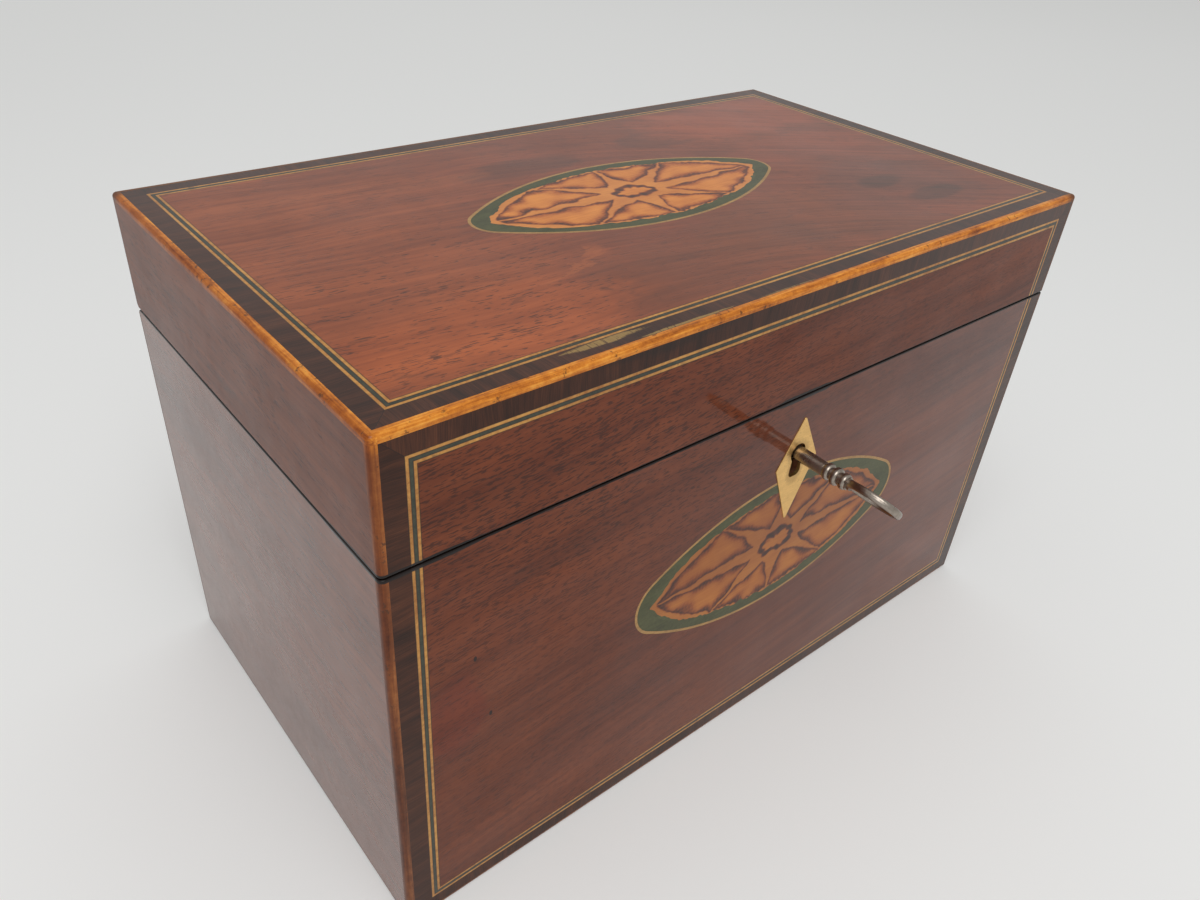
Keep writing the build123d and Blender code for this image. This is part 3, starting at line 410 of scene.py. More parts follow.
def shaded_front_mahogany():
    p = Paint("front_mahogany_polished")
    at = grain_of(p, p.x, p.z, slant=5.0, wave=2.5, seed=2.0)
    layers = mahogany_layers(p, at, seed=8.0)
    tone = mahogany_tone(p, layers)
    cloud = p.noise(p.place, (40, 20, 18), detail=3.5, rough=0.6, twist=0.5, seed=6)
    # The front's colours, here and in its zones, are set darker than the top's mahogany: painted shade
    # for the front face's weaker light
    warm = p.mix(tone, (0.090, 0.018, 0.006), (0.195, 0.046, 0.014))
    cool = p.mix(tone, (0.088, 0.021, 0.010), (0.172, 0.044, 0.018))
    edge = p.plus(p.minus(p.x, p.times(p.minus(p.z, 80.0), 0.9)), p.times(p.minus(cloud, 0.5), 80.0))
    colour = p.mix(p.smooth(edge, -150.0, 10.0), warm, cool)
    colour = zones(p, colour, tone, cloud, p.x, p.z, FRONT_ZONES)
    ribbon = p.noise(at, (120, 6.5, 30), detail=2.5, rough=0.55, twist=0.4, seed=14)
    colour = p.mix(p.times(p.smooth(ribbon, 0.54, 0.66), 0.35), colour, (0.058, 0.015, 0.009))
    bored = p.plus(p.smooth(p.z, 70.0, 125.0), p.smooth(p.x, 40.0, -60.0))
    speck = p.noise(at, (2.4, 0.50, 3), detail=1.0, rough=0.5, seed=15)
    specks = p.times(p.smooth(speck, 0.52, 0.66), p.times(bored, 0.36))
    pores = p.highest(p.times(layers.pores, p.plus(0.26, p.times(bored, 0.18))), specks)
    colour = p.mix(pores, colour, (0.034, 0.010, 0.006))
    for nick in ((-107.5, 91.1), (-103.1, 68.9)):
        colour = darken(p, p.times(p.spot(p.x, p.z, nick, (0.5, 0.9)), 0.9), colour)
    inner = p.highest(p.minus(p.size(p.x), BAND_INNER_X - LINES),
                      p.highest(p.minus(p.z, LID_INNER_Z - LINES),
                                p.minus(BASE_INNER_Z + LINES, p.z)))
    colour = darken(p, p.times(p.smooth(inner, -0.22, 0.0), 0.7), colour)
    # painted shadow along the seam's gap
    colour = darken(p, seam_shade(p), colour)
    relief = wood_relief(p, layers)
    worn = p.blend(p.above(p.z, SEAM), p.linear(p.x, -75.0, 85.0, 0.44, 0.80), 0.38)
    worn = p.plus(worn, p.times(p.minus(cloud, 0.5), 0.3))
    return polish(p, colour, relief, 0.03, coat=worn)


def shaded_side_mahogany():
    """The plain veneers: grain along Y on the two sides and along X on the back."""
    p = Paint("side_mahogany_polished")
    on_back = p.above(p.y, HALF_DEPTH - VENEER - SKIN_MARGIN)
    along = p.blend(on_back, p.y, p.x)
    at = grain_of(p, along, p.z, slant=2.0, wave=4.0, seed=5.0)
    layers = mahogany_layers(p, at, seed=13.0, pore_share=0.9)
    tone = mahogany_tone(p, layers)
    # Set darker than the top's mahogany: painted shade for the weaker light on the sides and back
    colour = p.mix(tone, (0.085, 0.024, 0.012), (0.190, 0.054, 0.022))
    colour = p.mix(p.times(layers.pores, 0.6), colour, (0.028, 0.012, 0.010))
    rub = p.noise(p.place, (5, 5, 5), detail=4.0, rough=0.7, seed=18)
    scuff = p.times(p.smooth(rub, 0.66, 0.72), p.smooth(p.z, 30.0, 0.0))
    colour = p.mix(p.times(scuff, 0.5), colour, (0.040, 0.018, 0.012))
    # painted shadow along the seam's gap
    colour = darken(p, seam_shade(p), colour)
    relief = wood_relief(p, layers)
    worn = p.plus(p.blend(p.above(p.z, SEAM), 0.88, 0.40), p.times(p.minus(rub, 0.5), 0.3))
    return polish(p, colour, relief, 0.03, coat=worn)


def strip_space(p):
    """1 on the top face, and how far a point is past the side and rail bands' inner edges."""
    on_top = p.on_top()
    side = p.minus(p.size(p.x), BAND_INNER_X)
    top_rail = p.minus(p.size(p.y), TOP_INNER_Y)
    front_rail = p.highest(p.minus(p.z, LID_INNER_Z), p.minus(BASE_INNER_Z, p.z))
    rail = p.blend(on_top, front_rail, top_rail)
    return on_top, side, rail


def kingwood():
    """Dark crossbanding, its grain across each strip, with two worn golden patches."""
    p = Paint("kingwood_crossbanding")
    on_top, side, rail = strip_space(p)
    is_side = p.above(side, rail)
    second = p.blend(on_top, p.z, p.y)
    across = p.blend(is_side, second, p.x)
    along = p.blend(is_side, p.x, second)
    bend = p.noise(p.place, (14, 14, 14), detail=1.0, seed=20)
    run = p.plus(along, p.times(bend, 2.5))
    at = p.join(across, run, p.times(is_side, 40.0))
    hair = p.noise(at, (9, 0.28, 9), detail=3.0, rough=0.6, seed=21)
    band = p.noise(at, (16, 2.6, 9), detail=3.0, rough=0.6, seed=22)
    board = p.noise(at, (60, 24, 9), detail=1.0, seed=23)
    tone = p.plus(p.plus(p.times(hair, 0.4), p.times(band, 0.4)), p.times(board, 0.3))
    colour = p.ramp(p.linear(tone, 0.36, 0.76), (0.0, (0.012, 0.005, 0.003)),
                    (0.5, (0.047, 0.015, 0.007)), (1.0, (0.112, 0.035, 0.014)))
    patch_grain = p.noise(p.place, (4.5, 0.9, 3.0), detail=5.0, rough=0.72, seed=24)
    gold = p.highest(p.spot(p.x, p.y, (-70.0, -67.9), (11.5, 1.15), 2.6, patch_grain),
                     p.spot(p.x, p.y, (-48.0, -71.0), (15.0, 0.45), 3.2, patch_grain))
    faint = p.spot(p.x, p.y, (-12.0, -71.2), (10.0, 0.35), 3.4, patch_grain)
    gold = p.highest(gold, p.times(faint, 0.6))
    gold = p.times(gold, on_top)
    # A dark wedge below the edging: a worn chip, its darkness partly painted shadow in the chip's hollow
    wedge = p.plus(p.minus(160.3, p.z), p.times(p.size(p.plus(p.x, 53.0)), 0.10))
    chip_and_shade = p.times(p.smooth(p.plus(wedge, p.times(patch_grain, 2.0)), 4.4, 2.4), p.minus(1.0, on_top))
    colour = darken(p, p.times(chip_and_shade, 0.5), colour)
    scratch = p.smooth(p.noise(p.place, (0.5, 6.0, 6.0), detail=2.0, seed=25), 0.40, 0.36)
    gold = p.times(gold, p.minus(1.0, p.times(scratch, 0.8)))
    colour = p.mix(p.times(gold, 0.9), colour, p.mix(hair, (0.19, 0.105, 0.030), (0.42, 0.27, 0.085)))
    out = p.highest(side, rail)
    joint = p.smooth(out, 0.2, 0.0)
    colour = darken(p, p.times(joint, 0.8), colour)
    mitre = p.smooth(p.size(p.minus(side, rail)), 0.16, 0.06)
    colour = darken(p, p.times(mitre, 0.7), colour)
    # painted shadow along the seam's gap
    colour = darken(p, seam_shade(p), colour)
    relief = p.plus(p.times(hair, 0.4), p.times(gold, -0.5))
    worn = p.blend(on_top, p.linear(p.x, -75.0, 85.0, 0.36, 0.62), 0.60)
    return polish(p, colour, relief, 0.03, coat=worn)


def stringing(name, dark, light, seed):
    """One of the thin lines, with the dark glue joints beside it."""
    p = Paint(name)
    out = p.highest(*strip_space(p)[1:])
    speck = p.noise(p.place, (1.3, 1.3, 1.3), detail=3.0, rough=0.7, seed=seed)
    long = p.noise(p.place, (18, 18, 18), detail=3.0, rough=0.6, seed=seed + 1)
    tone = p.linear(p.plus(p.times(speck, 0.55), p.times(long, 0.45)), 0.35, 0.65)
    colour = p.mix(tone, dark, light)
    stain = p.smooth(p.noise(p.place, (7, 7, 7), detail=4.0, rough=0.7, seed=seed + 2), 0.60, 0.72)
    colour = p.mix(p.times(stain, 0.6), colour, (0.085, 0.045, 0.020))
    shade = None
    for step in (0.0, 1.0, 2.0, 3.0):
        near = p.smooth(p.size(p.plus(out, step * LINE)), 0.20, 0.05)
        shade = near if shade is None else p.highest(shade, near)
    colour = darken(p, p.times(shade, 0.75), colour)
    # painted shadow along the seam's gap
    colour = darken(p, seam_shade(p), colour)
    return polish(p, colour, speck, 0.02, coat=0.60)


def oval_wood(name, dark, light, seed, flecks):
    """The patera's line and its green band."""
    p = Paint(name)
    speck = p.noise(p.place, (1.1, 1.1, 1.1), detail=3.0, rough=0.7, seed=seed)
    long = p.noise(p.place, (13, 5, 5), detail=3.0, rough=0.6, seed=seed + 1)
    thread = p.noise(p.place, (7, 0.4, 0.4), detail=3.0, rough=0.6, seed=seed + 2)
    tone = p.plus(p.plus(p.times(speck, 0.3), p.times(long, 0.4)), p.times(thread, 0.3))
    colour = p.mix(p.linear(tone, 0.36, 0.64), dark, light)
    worn = p.smooth(p.noise(p.place, (3.0, 1.6, 1.6), detail=4.0, rough=0.7, seed=seed + 3), 0.62, 0.72)
    colour = p.mix(p.times(worn, 0.5), colour, flecks)
    return polish(p, colour, thread, 0.02, coat=0.60)


def edging_wood():
    """Amber edging, its grain along each strip, with painted light and shade: the top rails painted
    brighter, painted shade below the lid's rim, at the left and behind.
    """
    p = Paint("boxwood_edging_amber")
    along_y = p.above(p.size(p.x), HALF_WIDTH - EDGING - STRIP_MARGIN)
    corner = p.times(along_y, p.above(p.size(p.y), HALF_DEPTH - EDGING - STRIP_MARGIN))
    corner = p.times(corner, p.above(HEIGHT - EDGING + STRIP_MARGIN, p.z))
    along = p.blend(corner, p.blend(along_y, p.x, p.y), p.z)
    first = p.blend(corner, p.z, p.x)
    second = p.blend(corner, p.blend(along_y, p.y, p.x), p.y)
    at = p.join(along, first, second)
    streak = p.noise(at, (14, 0.7, 0.7), detail=4.0, rough=0.62, twist=0.3, seed=41)
    speck = p.noise(p.place, (1.5, 1.5, 1.5), detail=4.0, rough=0.72, seed=42)
    stain = p.noise(p.place, (17, 17, 26), detail=3.0, rough=0.6, seed=43)
    tone = p.plus(p.plus(p.times(streak, 0.45), p.times(speck, 0.25)), p.times(stain, 0.30))
    share = p.linear(tone, 0.34, 0.66)
    # The top rails' colours, painted brighter as if lit from above
    high = p.ramp(share, (0.0, (0.150, 0.032, 0.005)), (0.35, (0.440, 0.130, 0.014)),
                  (0.6, (0.640, 0.215, 0.024)), (1.0, (0.900, 0.420, 0.070)))
    # Painted shade: the strips below the top rails are darker, and darkest towards the bottom
    low = p.ramp(share, (0.0, (0.070, 0.020, 0.008)), (0.5, (0.170, 0.052, 0.016)),
                 (1.0, (0.330, 0.120, 0.036)))
    half_lit = p.ramp(share, (0.0, (0.120, 0.032, 0.008)), (0.5, (0.270, 0.080, 0.018)),
                      (1.0, (0.430, 0.160, 0.036)))
    low = p.mix(p.smooth(p.plus(p.z, p.times(stain, 26.0)), 70.0, 150.0), low, half_lit)
    colour = p.mix(p.smooth(p.z, HEIGHT - 6.0, HEIGHT - 1.0), low, high)
    # Painted shade on the left edging
    left = p.smooth(p.plus(p.x, p.times(stain, 2.0)), 3.0 - HALF_WIDTH, 1.0 - HALF_WIDTH)
    colour = p.mix(left, colour, p.tinted(colour, (0.58, 0.46, 0.42)))
    # Painted shade on the right and back edging
    away = p.highest(p.smooth(p.plus(p.x, p.times(stain, 3.0)), HALF_WIDTH - 6.0, HALF_WIDTH),
                     p.smooth(p.plus(p.y, p.times(stain, 3.0)), HALF_DEPTH - 6.0, HALF_DEPTH))
    colour = p.mix(p.times(away, 0.85), colour, p.mix(tone, (0.040, 0.014, 0.008), (0.110, 0.036, 0.014)))
    pit = p.smooth(p.noise(p.place, (2.2, 2.2, 2.2), detail=3.0, rough=0.7, seed=44), 0.60, 0.70)
    colour = p.mix(p.times(pit, 0.75), colour, (0.060, 0.025, 0.012))
    # painted shadow along the seam's gap
    colour = darken(p, seam_shade(p), colour)
    relief = p.plus(p.times(streak, 0.5), p.times(pit, -0.8))
    return polish(p, colour, relief, 0.05, coat=0.40, coat_rough=0.16, index=1.45)


def plain_wood(name, dark, light, along, seed, coat=0.35, coat_rough=0.25, pores=0.8):
    """A board without figure, its grain along one axis."""
    p = Paint(name)
    axes = {"x": (p.x, p.plus(p.y, p.z)), "y": (p.y, p.plus(p.x, p.z)), "z": (p.z, p.plus(p.x, p.y))}
    at = grain_of(p, *axes[along], slant=1.0, wave=3.0, seed=seed)
    layers = mahogany_layers(p, at, seed=seed + 3.0, pore_share=pores)
    colour = p.mix(mahogany_tone(p, layers), dark, light)
    colour = p.mix(p.times(layers.pores, 0.6), colour, tuple(part * 0.3 for part in dark))
    grime = p.smooth(p.noise(p.place, (22, 22, 22), detail=4.0, rough=0.65, seed=seed + 9), 0.45, 0.75)
    colour = p.mix(p.times(grime, 0.4), colour, tuple(part * 0.55 for part in dark))
    relief = wood_relief(p, layers, 0.4)
    return polish(p, colour, relief, 0.06, coat=coat, coat_rough=coat_rough, specular=0.35)


# Metals, glass, foil and bone

def metal(name, dark, light, roughness, seed, tarnish):
    """Worn metal, cloudy and finely scratched, with tarnish in patches."""
    p = Paint(name)
    cloud = p.noise(p.place, (7, 7, 7), detail=4.0, rough=0.6, seed=seed)
    grit = p.noise(p.place, (0.7, 0.7, 0.7), detail=3.0, rough=0.7, seed=seed + 1)
    rub = p.noise(p.place, (0.25, 5.0, 5.0), detail=2.0, rough=0.6, seed=seed + 2)
    second_rub = p.noise(p.place, (5.0, 4.0, 0.25), detail=2.0, rough=0.6, seed=seed + 3)
    lines = p.highest(p.smooth(rub, 0.60, 0.70), p.smooth(second_rub, 0.60, 0.70))
    tone = p.plus(p.times(cloud, 0.6), p.times(grit, 0.4))
    colour = p.mix(p.linear(tone, 0.35, 0.65), dark, light)
    stain = p.smooth(p.plus(p.times(cloud, 0.7), p.times(grit, 0.3)), 0.52, 0.70)
    colour = p.mix(p.times(stain, 0.5), colour, tarnish)
    rough = p.plus(p.plus(roughness - 0.06, p.times(cloud, 0.12)), p.times(stain, 0.12))
    relief = p.plus(p.times(grit, 0.5), p.times(lines, -0.6))
    return p.finish(colour, rough, p.bump(relief, 0.03), metallic=1.0)


def escutcheon_metal():
    """Pale worn brass: dull yellow, greyer in its hollows and darker round the keyhole."""
    p = Paint("escutcheon_brass_worn")
    cloud = p.noise(p.place, (6, 6, 6), detail=4.0, rough=0.65, seed=51)
    grit = p.noise(p.place, (0.6, 0.6, 0.6), detail=3.0, rough=0.7, seed=52)
    hair = p.noise(p.place, (4.0, 4.0, 0.22), detail=2.0, rough=0.6, seed=53)
    tone = p.plus(p.plus(p.times(cloud, 0.5), p.times(grit, 0.25)), p.times(hair, 0.25))
    colour = p.mix(p.linear(tone, 0.36, 0.64), (0.690, 0.420, 0.145), (0.930, 0.620, 0.250))
    hole = p.spot(p.x, p.z, KEYHOLE, (4.6, 4.6), 0.9, grit)
    slot = p.spot(p.x, p.z, KEYHOLE_SLOT, (3.7, 5.0), 0.9, grit)
    colour = p.mix(p.times(p.highest(hole, slot), 0.35), colour, (0.230, 0.130, 0.050))
    spots = p.smooth(p.noise(p.place, (1.6, 1.6, 1.6), detail=3.0, rough=0.7, seed=54), 0.64, 0.72)
    colour = p.mix(p.times(spots, 0.45), colour, (0.200, 0.120, 0.060))
    rough = p.linear(cloud, 0.3, 0.7, 0.36, 0.52)
    relief = p.plus(p.times(grit, 0.4), p.times(hair, 0.4))
    return p.finish(colour, rough, p.bump(relief, 0.02), metallic=1.0)


def foil_metal():
    """The compartments' dull, creased lining."""
    p = Paint("foil_dull_grey")
    crease = p.cells(p.place, (9, 9, 9), seed=61)
    dent = p.noise(p.place, (5, 5, 5), detail=4.0, rough=0.6, twist=0.8, seed=62)
    grit = p.noise(p.place, (0.8, 0.8, 0.8), detail=3.0, rough=0.7, seed=63)
    colour = p.mix(p.linear(dent, 0.35, 0.65), (0.240, 0.235, 0.225), (0.430, 0.425, 0.410))
    colour = p.mix(p.times(p.smooth(grit, 0.6, 0.75), 0.5), colour, (0.120, 0.105, 0.090))
    relief = p.plus(p.times(crease, 0.5), p.times(dent, 0.6))
    return p.finish(colour, p.linear(grit, 0.3, 0.7, 0.42, 0.62), p.bump(relief, 0.35), metallic=0.85)


def bone():
    """Turned bone, ringed by the lathe."""
    p = Paint("knob_bone_turned")
    ring = p.noise(p.join(0.0, 0.0, p.z), (1, 1, 0.35), detail=2.0, seed=71)
    fleck = p.noise(p.place, (0.5, 0.5, 2.4), detail=3.0, rough=0.65, seed=72)
    colour = p.mix(p.linear(fleck, 0.35, 0.65), (0.560, 0.450, 0.270), (0.780, 0.700, 0.520))
    colour = p.mix(p.times(p.smooth(ring, 0.58, 0.70), 0.35), colour, (0.360, 0.240, 0.120))
    return p.finish(colour, 0.32, p.bump(p.plus(ring, fleck), 0.02), coat=0.3, coat_rough=0.2,
                    **{"Subsurface Weight": 0.08, "Subsurface Radius": (0.003, 0.002, 0.001)})


def bowl_glass():
    """Clear glass that also lets light through to the bay below it."""
    p = Paint("bowl_glass_clear")
    ripple = p.noise(p.place, (14, 14, 20), detail=2.0, seed=81)
    seeds = p.smooth(p.cells(p.place, (7, 7, 7), seed=82), 0.10, 0.06)
    relief = p.plus(ripple, p.times(seeds, 0.15))
    p.finish((0.97, 0.985, 0.975), 0.02, p.bump(relief, 0.06), specular=0.5,
             **{"Transmission Weight": 1.0, "IOR": 1.5})
    glass = p.output.inputs["Surface"].links[0].from_socket
    path = p.add("ShaderNodeLightPath")
    clear = p.add("ShaderNodeBsdfTransparent")
    p.put((0.93, 0.96, 0.94), clear.inputs["Color"])
    either = p.add("ShaderNodeMixShader")
    p.put(p.highest(path.outputs["Is Shadow Ray"], path.outputs["Is Diffuse Ray"]), either.inputs[0])
    p.put(glass, either.inputs[1])
    p.put(clear.outputs[0], either.inputs[2])
    p.put(either.outputs[0], p.output.inputs["Surface"])
    return p.material


# The paterae: one fine sheet each for the pale ground, the petals and the eye

def outlines_of(name, plane):
    """The outer loops of a node's flat top faces, in millimetres on the inlay's own plane."""
    mesh = nodes[name].data
    first, second, face, sign = plane
    counts = {}
    for polygon in mesh.polygons:
        if polygon.normal[face] * sign < 0.99:
            continue
        corners = [tuple(round(mesh.vertices[index].co[axis] * 1000, 3) for axis in (first, second))
                   for index in polygon.vertices]
        for start, end in zip(corners, corners[1:] + corners[:1]):
            key = (min(start, end), max(start, end))
            counts[key] = counts.get(key, 0) + 1
    links = {}
    for (start, end), count in counts.items():
        if count == 1 and start != end:
            links.setdefault(start, []).append(end)
            links.setdefault(end, []).append(start)
    loops = []
    while links:
        start = next(iter(links))
        loop = [start]
        here = start
        while links.get(here):
            onward = links[here].pop()
            links[onward].remove(here)
            if onward == start:
                break
            loop.append(onward)
            here = onward
        links = {key: value for key, value in links.items() if value}
        if len(loop) > 3:
            loops.append(np.array(loop))
    return loops


def distance_to(points, loop):
    """The distance from each point to a closed loop, and whether the point is inside it."""
    best = np.full(len(points), 1e9)
    inside = np.zeros(len(points), dtype=bool)
    px, py = points[:, 0], points[:, 1]
    for (ax, ay), (bx, by) in zip(loop, np.roll(loop, -1, axis=0)):
        dx, dy = bx - ax, by - ay
        share = np.clip(((px - ax) * dx + (py - ay) * dy) / (dx * dx + dy * dy + 1e-12), 0, 1)
        best = np.minimum(best, np.hypot(px - ax - share * dx, py - ay - share * dy))
        crosses = (ay > py) != (by > py)
        meet = ax + (py - ay) * dx / (dy if abs(dy) > 1e-9 else 1e-9)
        inside ^= crosses & (px < meet)
    return best, inside


def smooth_field(points, wavelength, seed, waves=22):
    """A soft random field, between about -1 and 1, with lumps of the given size."""
    random = np.random.default_rng(seed)
    total = np.zeros(len(points))
    for _ in range(waves):
        turn = random.uniform(0, 2 * math.pi)
        pace = 2 * math.pi / (wavelength * random.uniform(0.7, 1.5))
        total += np.sin(points[:, 0] * math.cos(turn) * pace + points[:, 1] * math.sin(turn) * pace
                        + random.uniform(0, 2 * math.pi))
    return total / math.sqrt(waves / 2) / 2


def leaf_grid():
    """Points over the inlay's pointed leaf, column by column, and each one's gap to its long edge."""
    share = np.linspace(-0.999, 0.999, SHEET_COLUMNS + 1)
    way, rest = np.abs(share), 1 - np.abs(share)
    near, far = 3 * rest ** 2 * way, 3 * rest * way ** 2
    along = np.sign(share) * GROUND_HALF_LENGTH * (near * LEAF_LEVEL + far * LEAF_TURN[0] + way ** 3)
    half = GROUND_HALF_HEIGHT * (rest ** 3 + near + far * LEAF_TURN[1])
    across = np.linspace(-1, 1, SHEET_ROWS + 1)
    heights = half[:, None] * across[None, :]
    flat = np.stack([np.repeat(along, SHEET_ROWS + 1), heights.reshape(-1)], -1)
    return flat, (half[:, None] * (1 - np.abs(across)[None, :])).reshape(-1)


def hand_cut(points, flat, edge_gap, seed):
    """The points nudged about, so that petals measured from them look cut by hand."""
    moved = points.copy()
    for axis in (0, 1):
        moved[:, axis] += (0.60 * smooth_field(points, 8.0, seed + axis)
                           + 0.10 * smooth_field(points, 2.0, seed + 20 + axis))
    scallop = np.sin(flat[:, 0] * 2 * math.pi / 2.6 + 1.6 * smooth_field(points, 9.0, seed + 4))
    rim = np.clip(1 - edge_gap / 3.2, 0, 1)
    moved[:, 1] += 0.34 * scallop * rim * np.sign(flat[:, 1])
    return moved


def scorching(points, flat, moved, loops, centre, seed):
    """How scorched each point is, and 1 where it lies in a petal or the eye."""
    random = np.random.default_rng(seed)
    in_petal = np.zeros(len(points), dtype=bool)
    in_eye = np.zeros(len(points), dtype=bool)
    petal_gap = np.full(len(points), 1e9)
    eye_gap = np.full(len(points), 1e9)
    for loop in loops:
        gap, within = distance_to(moved, loop)
        if np.hypot(*(loop.mean(axis=0) - centre)) < EYE_REACH:
            eye_gap, in_eye = gap, within
        else:
            petal_gap = np.minimum(petal_gap, gap)
            in_petal |= within

    # shading that fades from each petal's edge into it, and a thin dark line along that edge
    uneven = np.clip(0.5 + 0.55 * smooth_field(points, 8.0, seed + 5), 0, 1)
    width = 0.75 + 1.45 * uneven
    soft = np.exp(-(petal_gap / width) ** 1.35) * (0.62 + 0.38 * uneven)
    soft *= np.clip(1.0 + 0.22 * smooth_field(points, 1.3, seed + 9), 0.7, 1.3)
    line = np.exp(-(petal_gap / (0.34 + 0.10 * smooth_field(points, 2.4, seed + 6))) ** 2)
    line *= np.clip(0.80 + 0.4 * smooth_field(points, 3.3, seed + 7), 0.35, 1)
    burn = np.where(in_petal, np.maximum(soft, 0.85 * line), 0.75 * line)

    # the eye's dark, beaded ring
    turn = np.arctan2(flat[:, 1] * 1.8, flat[:, 0])
    beads = 0.5 + 0.5 * np.cos(9 * turn + 0.9 * smooth_field(points, 5, seed + 8))
    ring = np.exp(-(eye_gap / (0.75 + 0.55 * beads)) ** 4)
    burn = np.maximum(burn, ring * (0.72 + 0.28 * beads))

    # a darker blot at each petal's root
    for loop in loops:
        reach = np.hypot(*((loop - centre).T / np.array([[1.0], [0.6]])))
        root = loop[np.argmin(reach)]
        depth, spread = random.uniform(0.35, 1.0), random.uniform(1.6, 3.4)
        blot = depth * np.exp(-(np.hypot(*(moved - root).T) / spread) ** 2)
        burn = np.maximum(burn, np.where(in_petal, blot, 0.0))
    return np.clip(burn, 0, 1), np.where(in_petal | in_eye, 1.0, 0.0)


def green_share(points, flat, seed):
    """1 outside the ragged, pointed line where the ground meets the green band, and 0 inside it."""
    a, b = GROUND_HALF_LENGTH, GROUND_HALF_HEIGHT
    bulge = a * a / (2 * b) + b / 2
    lens = np.sqrt(np.maximum(bulge ** 2 - flat[:, 0] ** 2, 0)) - (bulge - b)
    fuller = 0.985 + 0.22 * np.clip((np.abs(flat[:, 0]) - 22) / 20, 0, 1)
    ragged = 0.34 * smooth_field(points, 2.6, seed + 11) + 0.50 * smooth_field(points, 8.0, seed + 12)
    return np.clip(0.5 + 2.5 * (np.abs(flat[:, 1]) - lens * fuller - ragged + 0.15), 0, 1)


def clear_of_plate(faces, points):
    """The faces that the keyhole plate doesn't cover."""
    up = points[:, 1] - PLATE_MIDDLE[1] - PLATE_RISE
    reach = np.where(up > 0, PLATE_HALF_HEIGHT - PLATE_RISE, PLATE_HALF_HEIGHT + PLATE_RISE)
    share = np.abs(points[:, 0] - PLATE_MIDDLE[0]) / PLATE_HALF_WIDTH + np.abs(up) / reach
    return [corners for corners in faces if max(share[list(corners)]) > 0.93]


def patera_sheet(name, node, centre, plane, seed, under_plate):
    """One inlay's finely meshed sheet, whose attributes say where it is burnt, petal or green."""
    first, second, face, sign = plane
    flat, edge_gap = leaf_grid()
    centre = np.array(centre)
    points = flat + centre
    moved = hand_cut(points, flat, edge_gap, seed)
    burn, petal = scorching(points, flat, moved, outlines_of(node, plane), centre, seed)
    band = green_share(points, flat, seed)

    def lift(values, height):
        place = np.zeros((len(values), 3))
        place[:, first] = values[:, 0] + centre[0]
        place[:, second] = values[:, 1] + centre[1]
        surface = {2: HEIGHT, 1: -HALF_DEPTH}[face]
        place[:, face] = surface + sign * height
        return place / 1000.0

    columns, rows, stride = SHEET_COLUMNS, SHEET_ROWS, SHEET_ROWS + 1
    faces = []
    for column in range(columns):
        for row in range(rows):
            start = column * stride + row
            faces.append((start, start + stride, start + stride + 1, start + 1))
    if under_plate:
        faces = clear_of_plate(faces, points)
    edge = ([column * stride for column in range(columns + 1)]
            + [columns * stride + row for row in range(1, rows + 1)]
            + [column * stride + rows for column in range(columns - 1, -1, -1)]
            + [row for row in range(rows - 1, 0, -1)])
    low = lift(flat[edge], -SHEET_DEPTH)
    vertices = np.vstack([lift(flat, 0.0), low])
    base = len(flat)
    for index in range(len(edge)):
        onward = (index + 1) % len(edge)
        faces.append((edge[onward], edge[index], base + index, base + onward))
    faces.append(tuple(base + index for index in range(len(edge) - 1, -1, -1)))
    mesh = bpy.data.meshes.new(name)
    mesh.from_pydata(vertices.tolist(), [], faces)
    for key, values in (("burn", burn), ("petal", petal), ("band", band)):
        layer = mesh.attributes.new(key, "FLOAT", "POINT")
        layer.data.foreach_set("value", np.concatenate([values, np.zeros(len(low))]).astype(np.float32))
    mesh.validate()
    mesh.update()
    sheet = bpy.data.objects.new(name, mesh)
    bpy.context.scene.collection.objects.link(sheet)
    return sheet


def satinwood():
    """Satinwood ground and petals: orange tan, scorched by hot sand, and green outside the ground."""
    p = Paint("patera_satinwood")
    burn, petal, band = (p.add("ShaderNodeAttribute", attribute_name=key).outputs["Fac"]
                         for key in ("burn", "petal", "band"))
    on_top = p.on_top()
    second = p.blend(on_top, p.z, p.y)
    at = p.join(p.x, second, 3.0)
    thread = p.noise(at, (8, 0.5, 3), detail=3.0, rough=0.6, seed=91)
    cloud = p.noise(at, (11, 8, 3), detail=2.0, rough=0.5, seed=92)
    tone = p.linear(p.plus(p.times(thread, 0.45), p.times(cloud, 0.55)), 0.36, 0.64)
    petals = p.mix(tone, (0.580, 0.175, 0.024), (0.740, 0.265, 0.040))
    ground = p.mix(tone, (0.540, 0.170, 0.028), (0.680, 0.250, 0.044))
    colour = p.mix(petal, ground, petals)
    # On the front the satinwood is tinted darker than on the top, as painted shade for the front face's
    # weaker light, and darker still towards the inlay's upper part
    front_shade_tint = p.mix(p.smooth(second, 80.0, 62.0), (0.52, 0.46, 0.36), (0.64, 0.60, 0.44))
    colour = p.tinted(colour, p.mix(on_top, front_shade_tint, (1.0, 1.0, 1.0)))
    scorched = p.ramp(burn, (0.0, (1.0, 1.0, 1.0)), (0.30, (0.64, 0.47, 0.38)),
                      (0.60, (0.27, 0.165, 0.13)), (1.0, (0.085, 0.052, 0.048)))
    colour = p.tinted(colour, scorched)
    green = p.mix(tone, *BAND_GREENS)
    colour = p.mix(p.smooth(band, 0.35, 0.65), colour, green)
    return polish(p, colour, p.plus(thread, p.times(burn, -0.5)), 0.02, coat=0.62)


# Assigning the materials

def dress(material, *names):
    for name in names:
        for slot in nodes[name].material_slots:
            slot.material = material


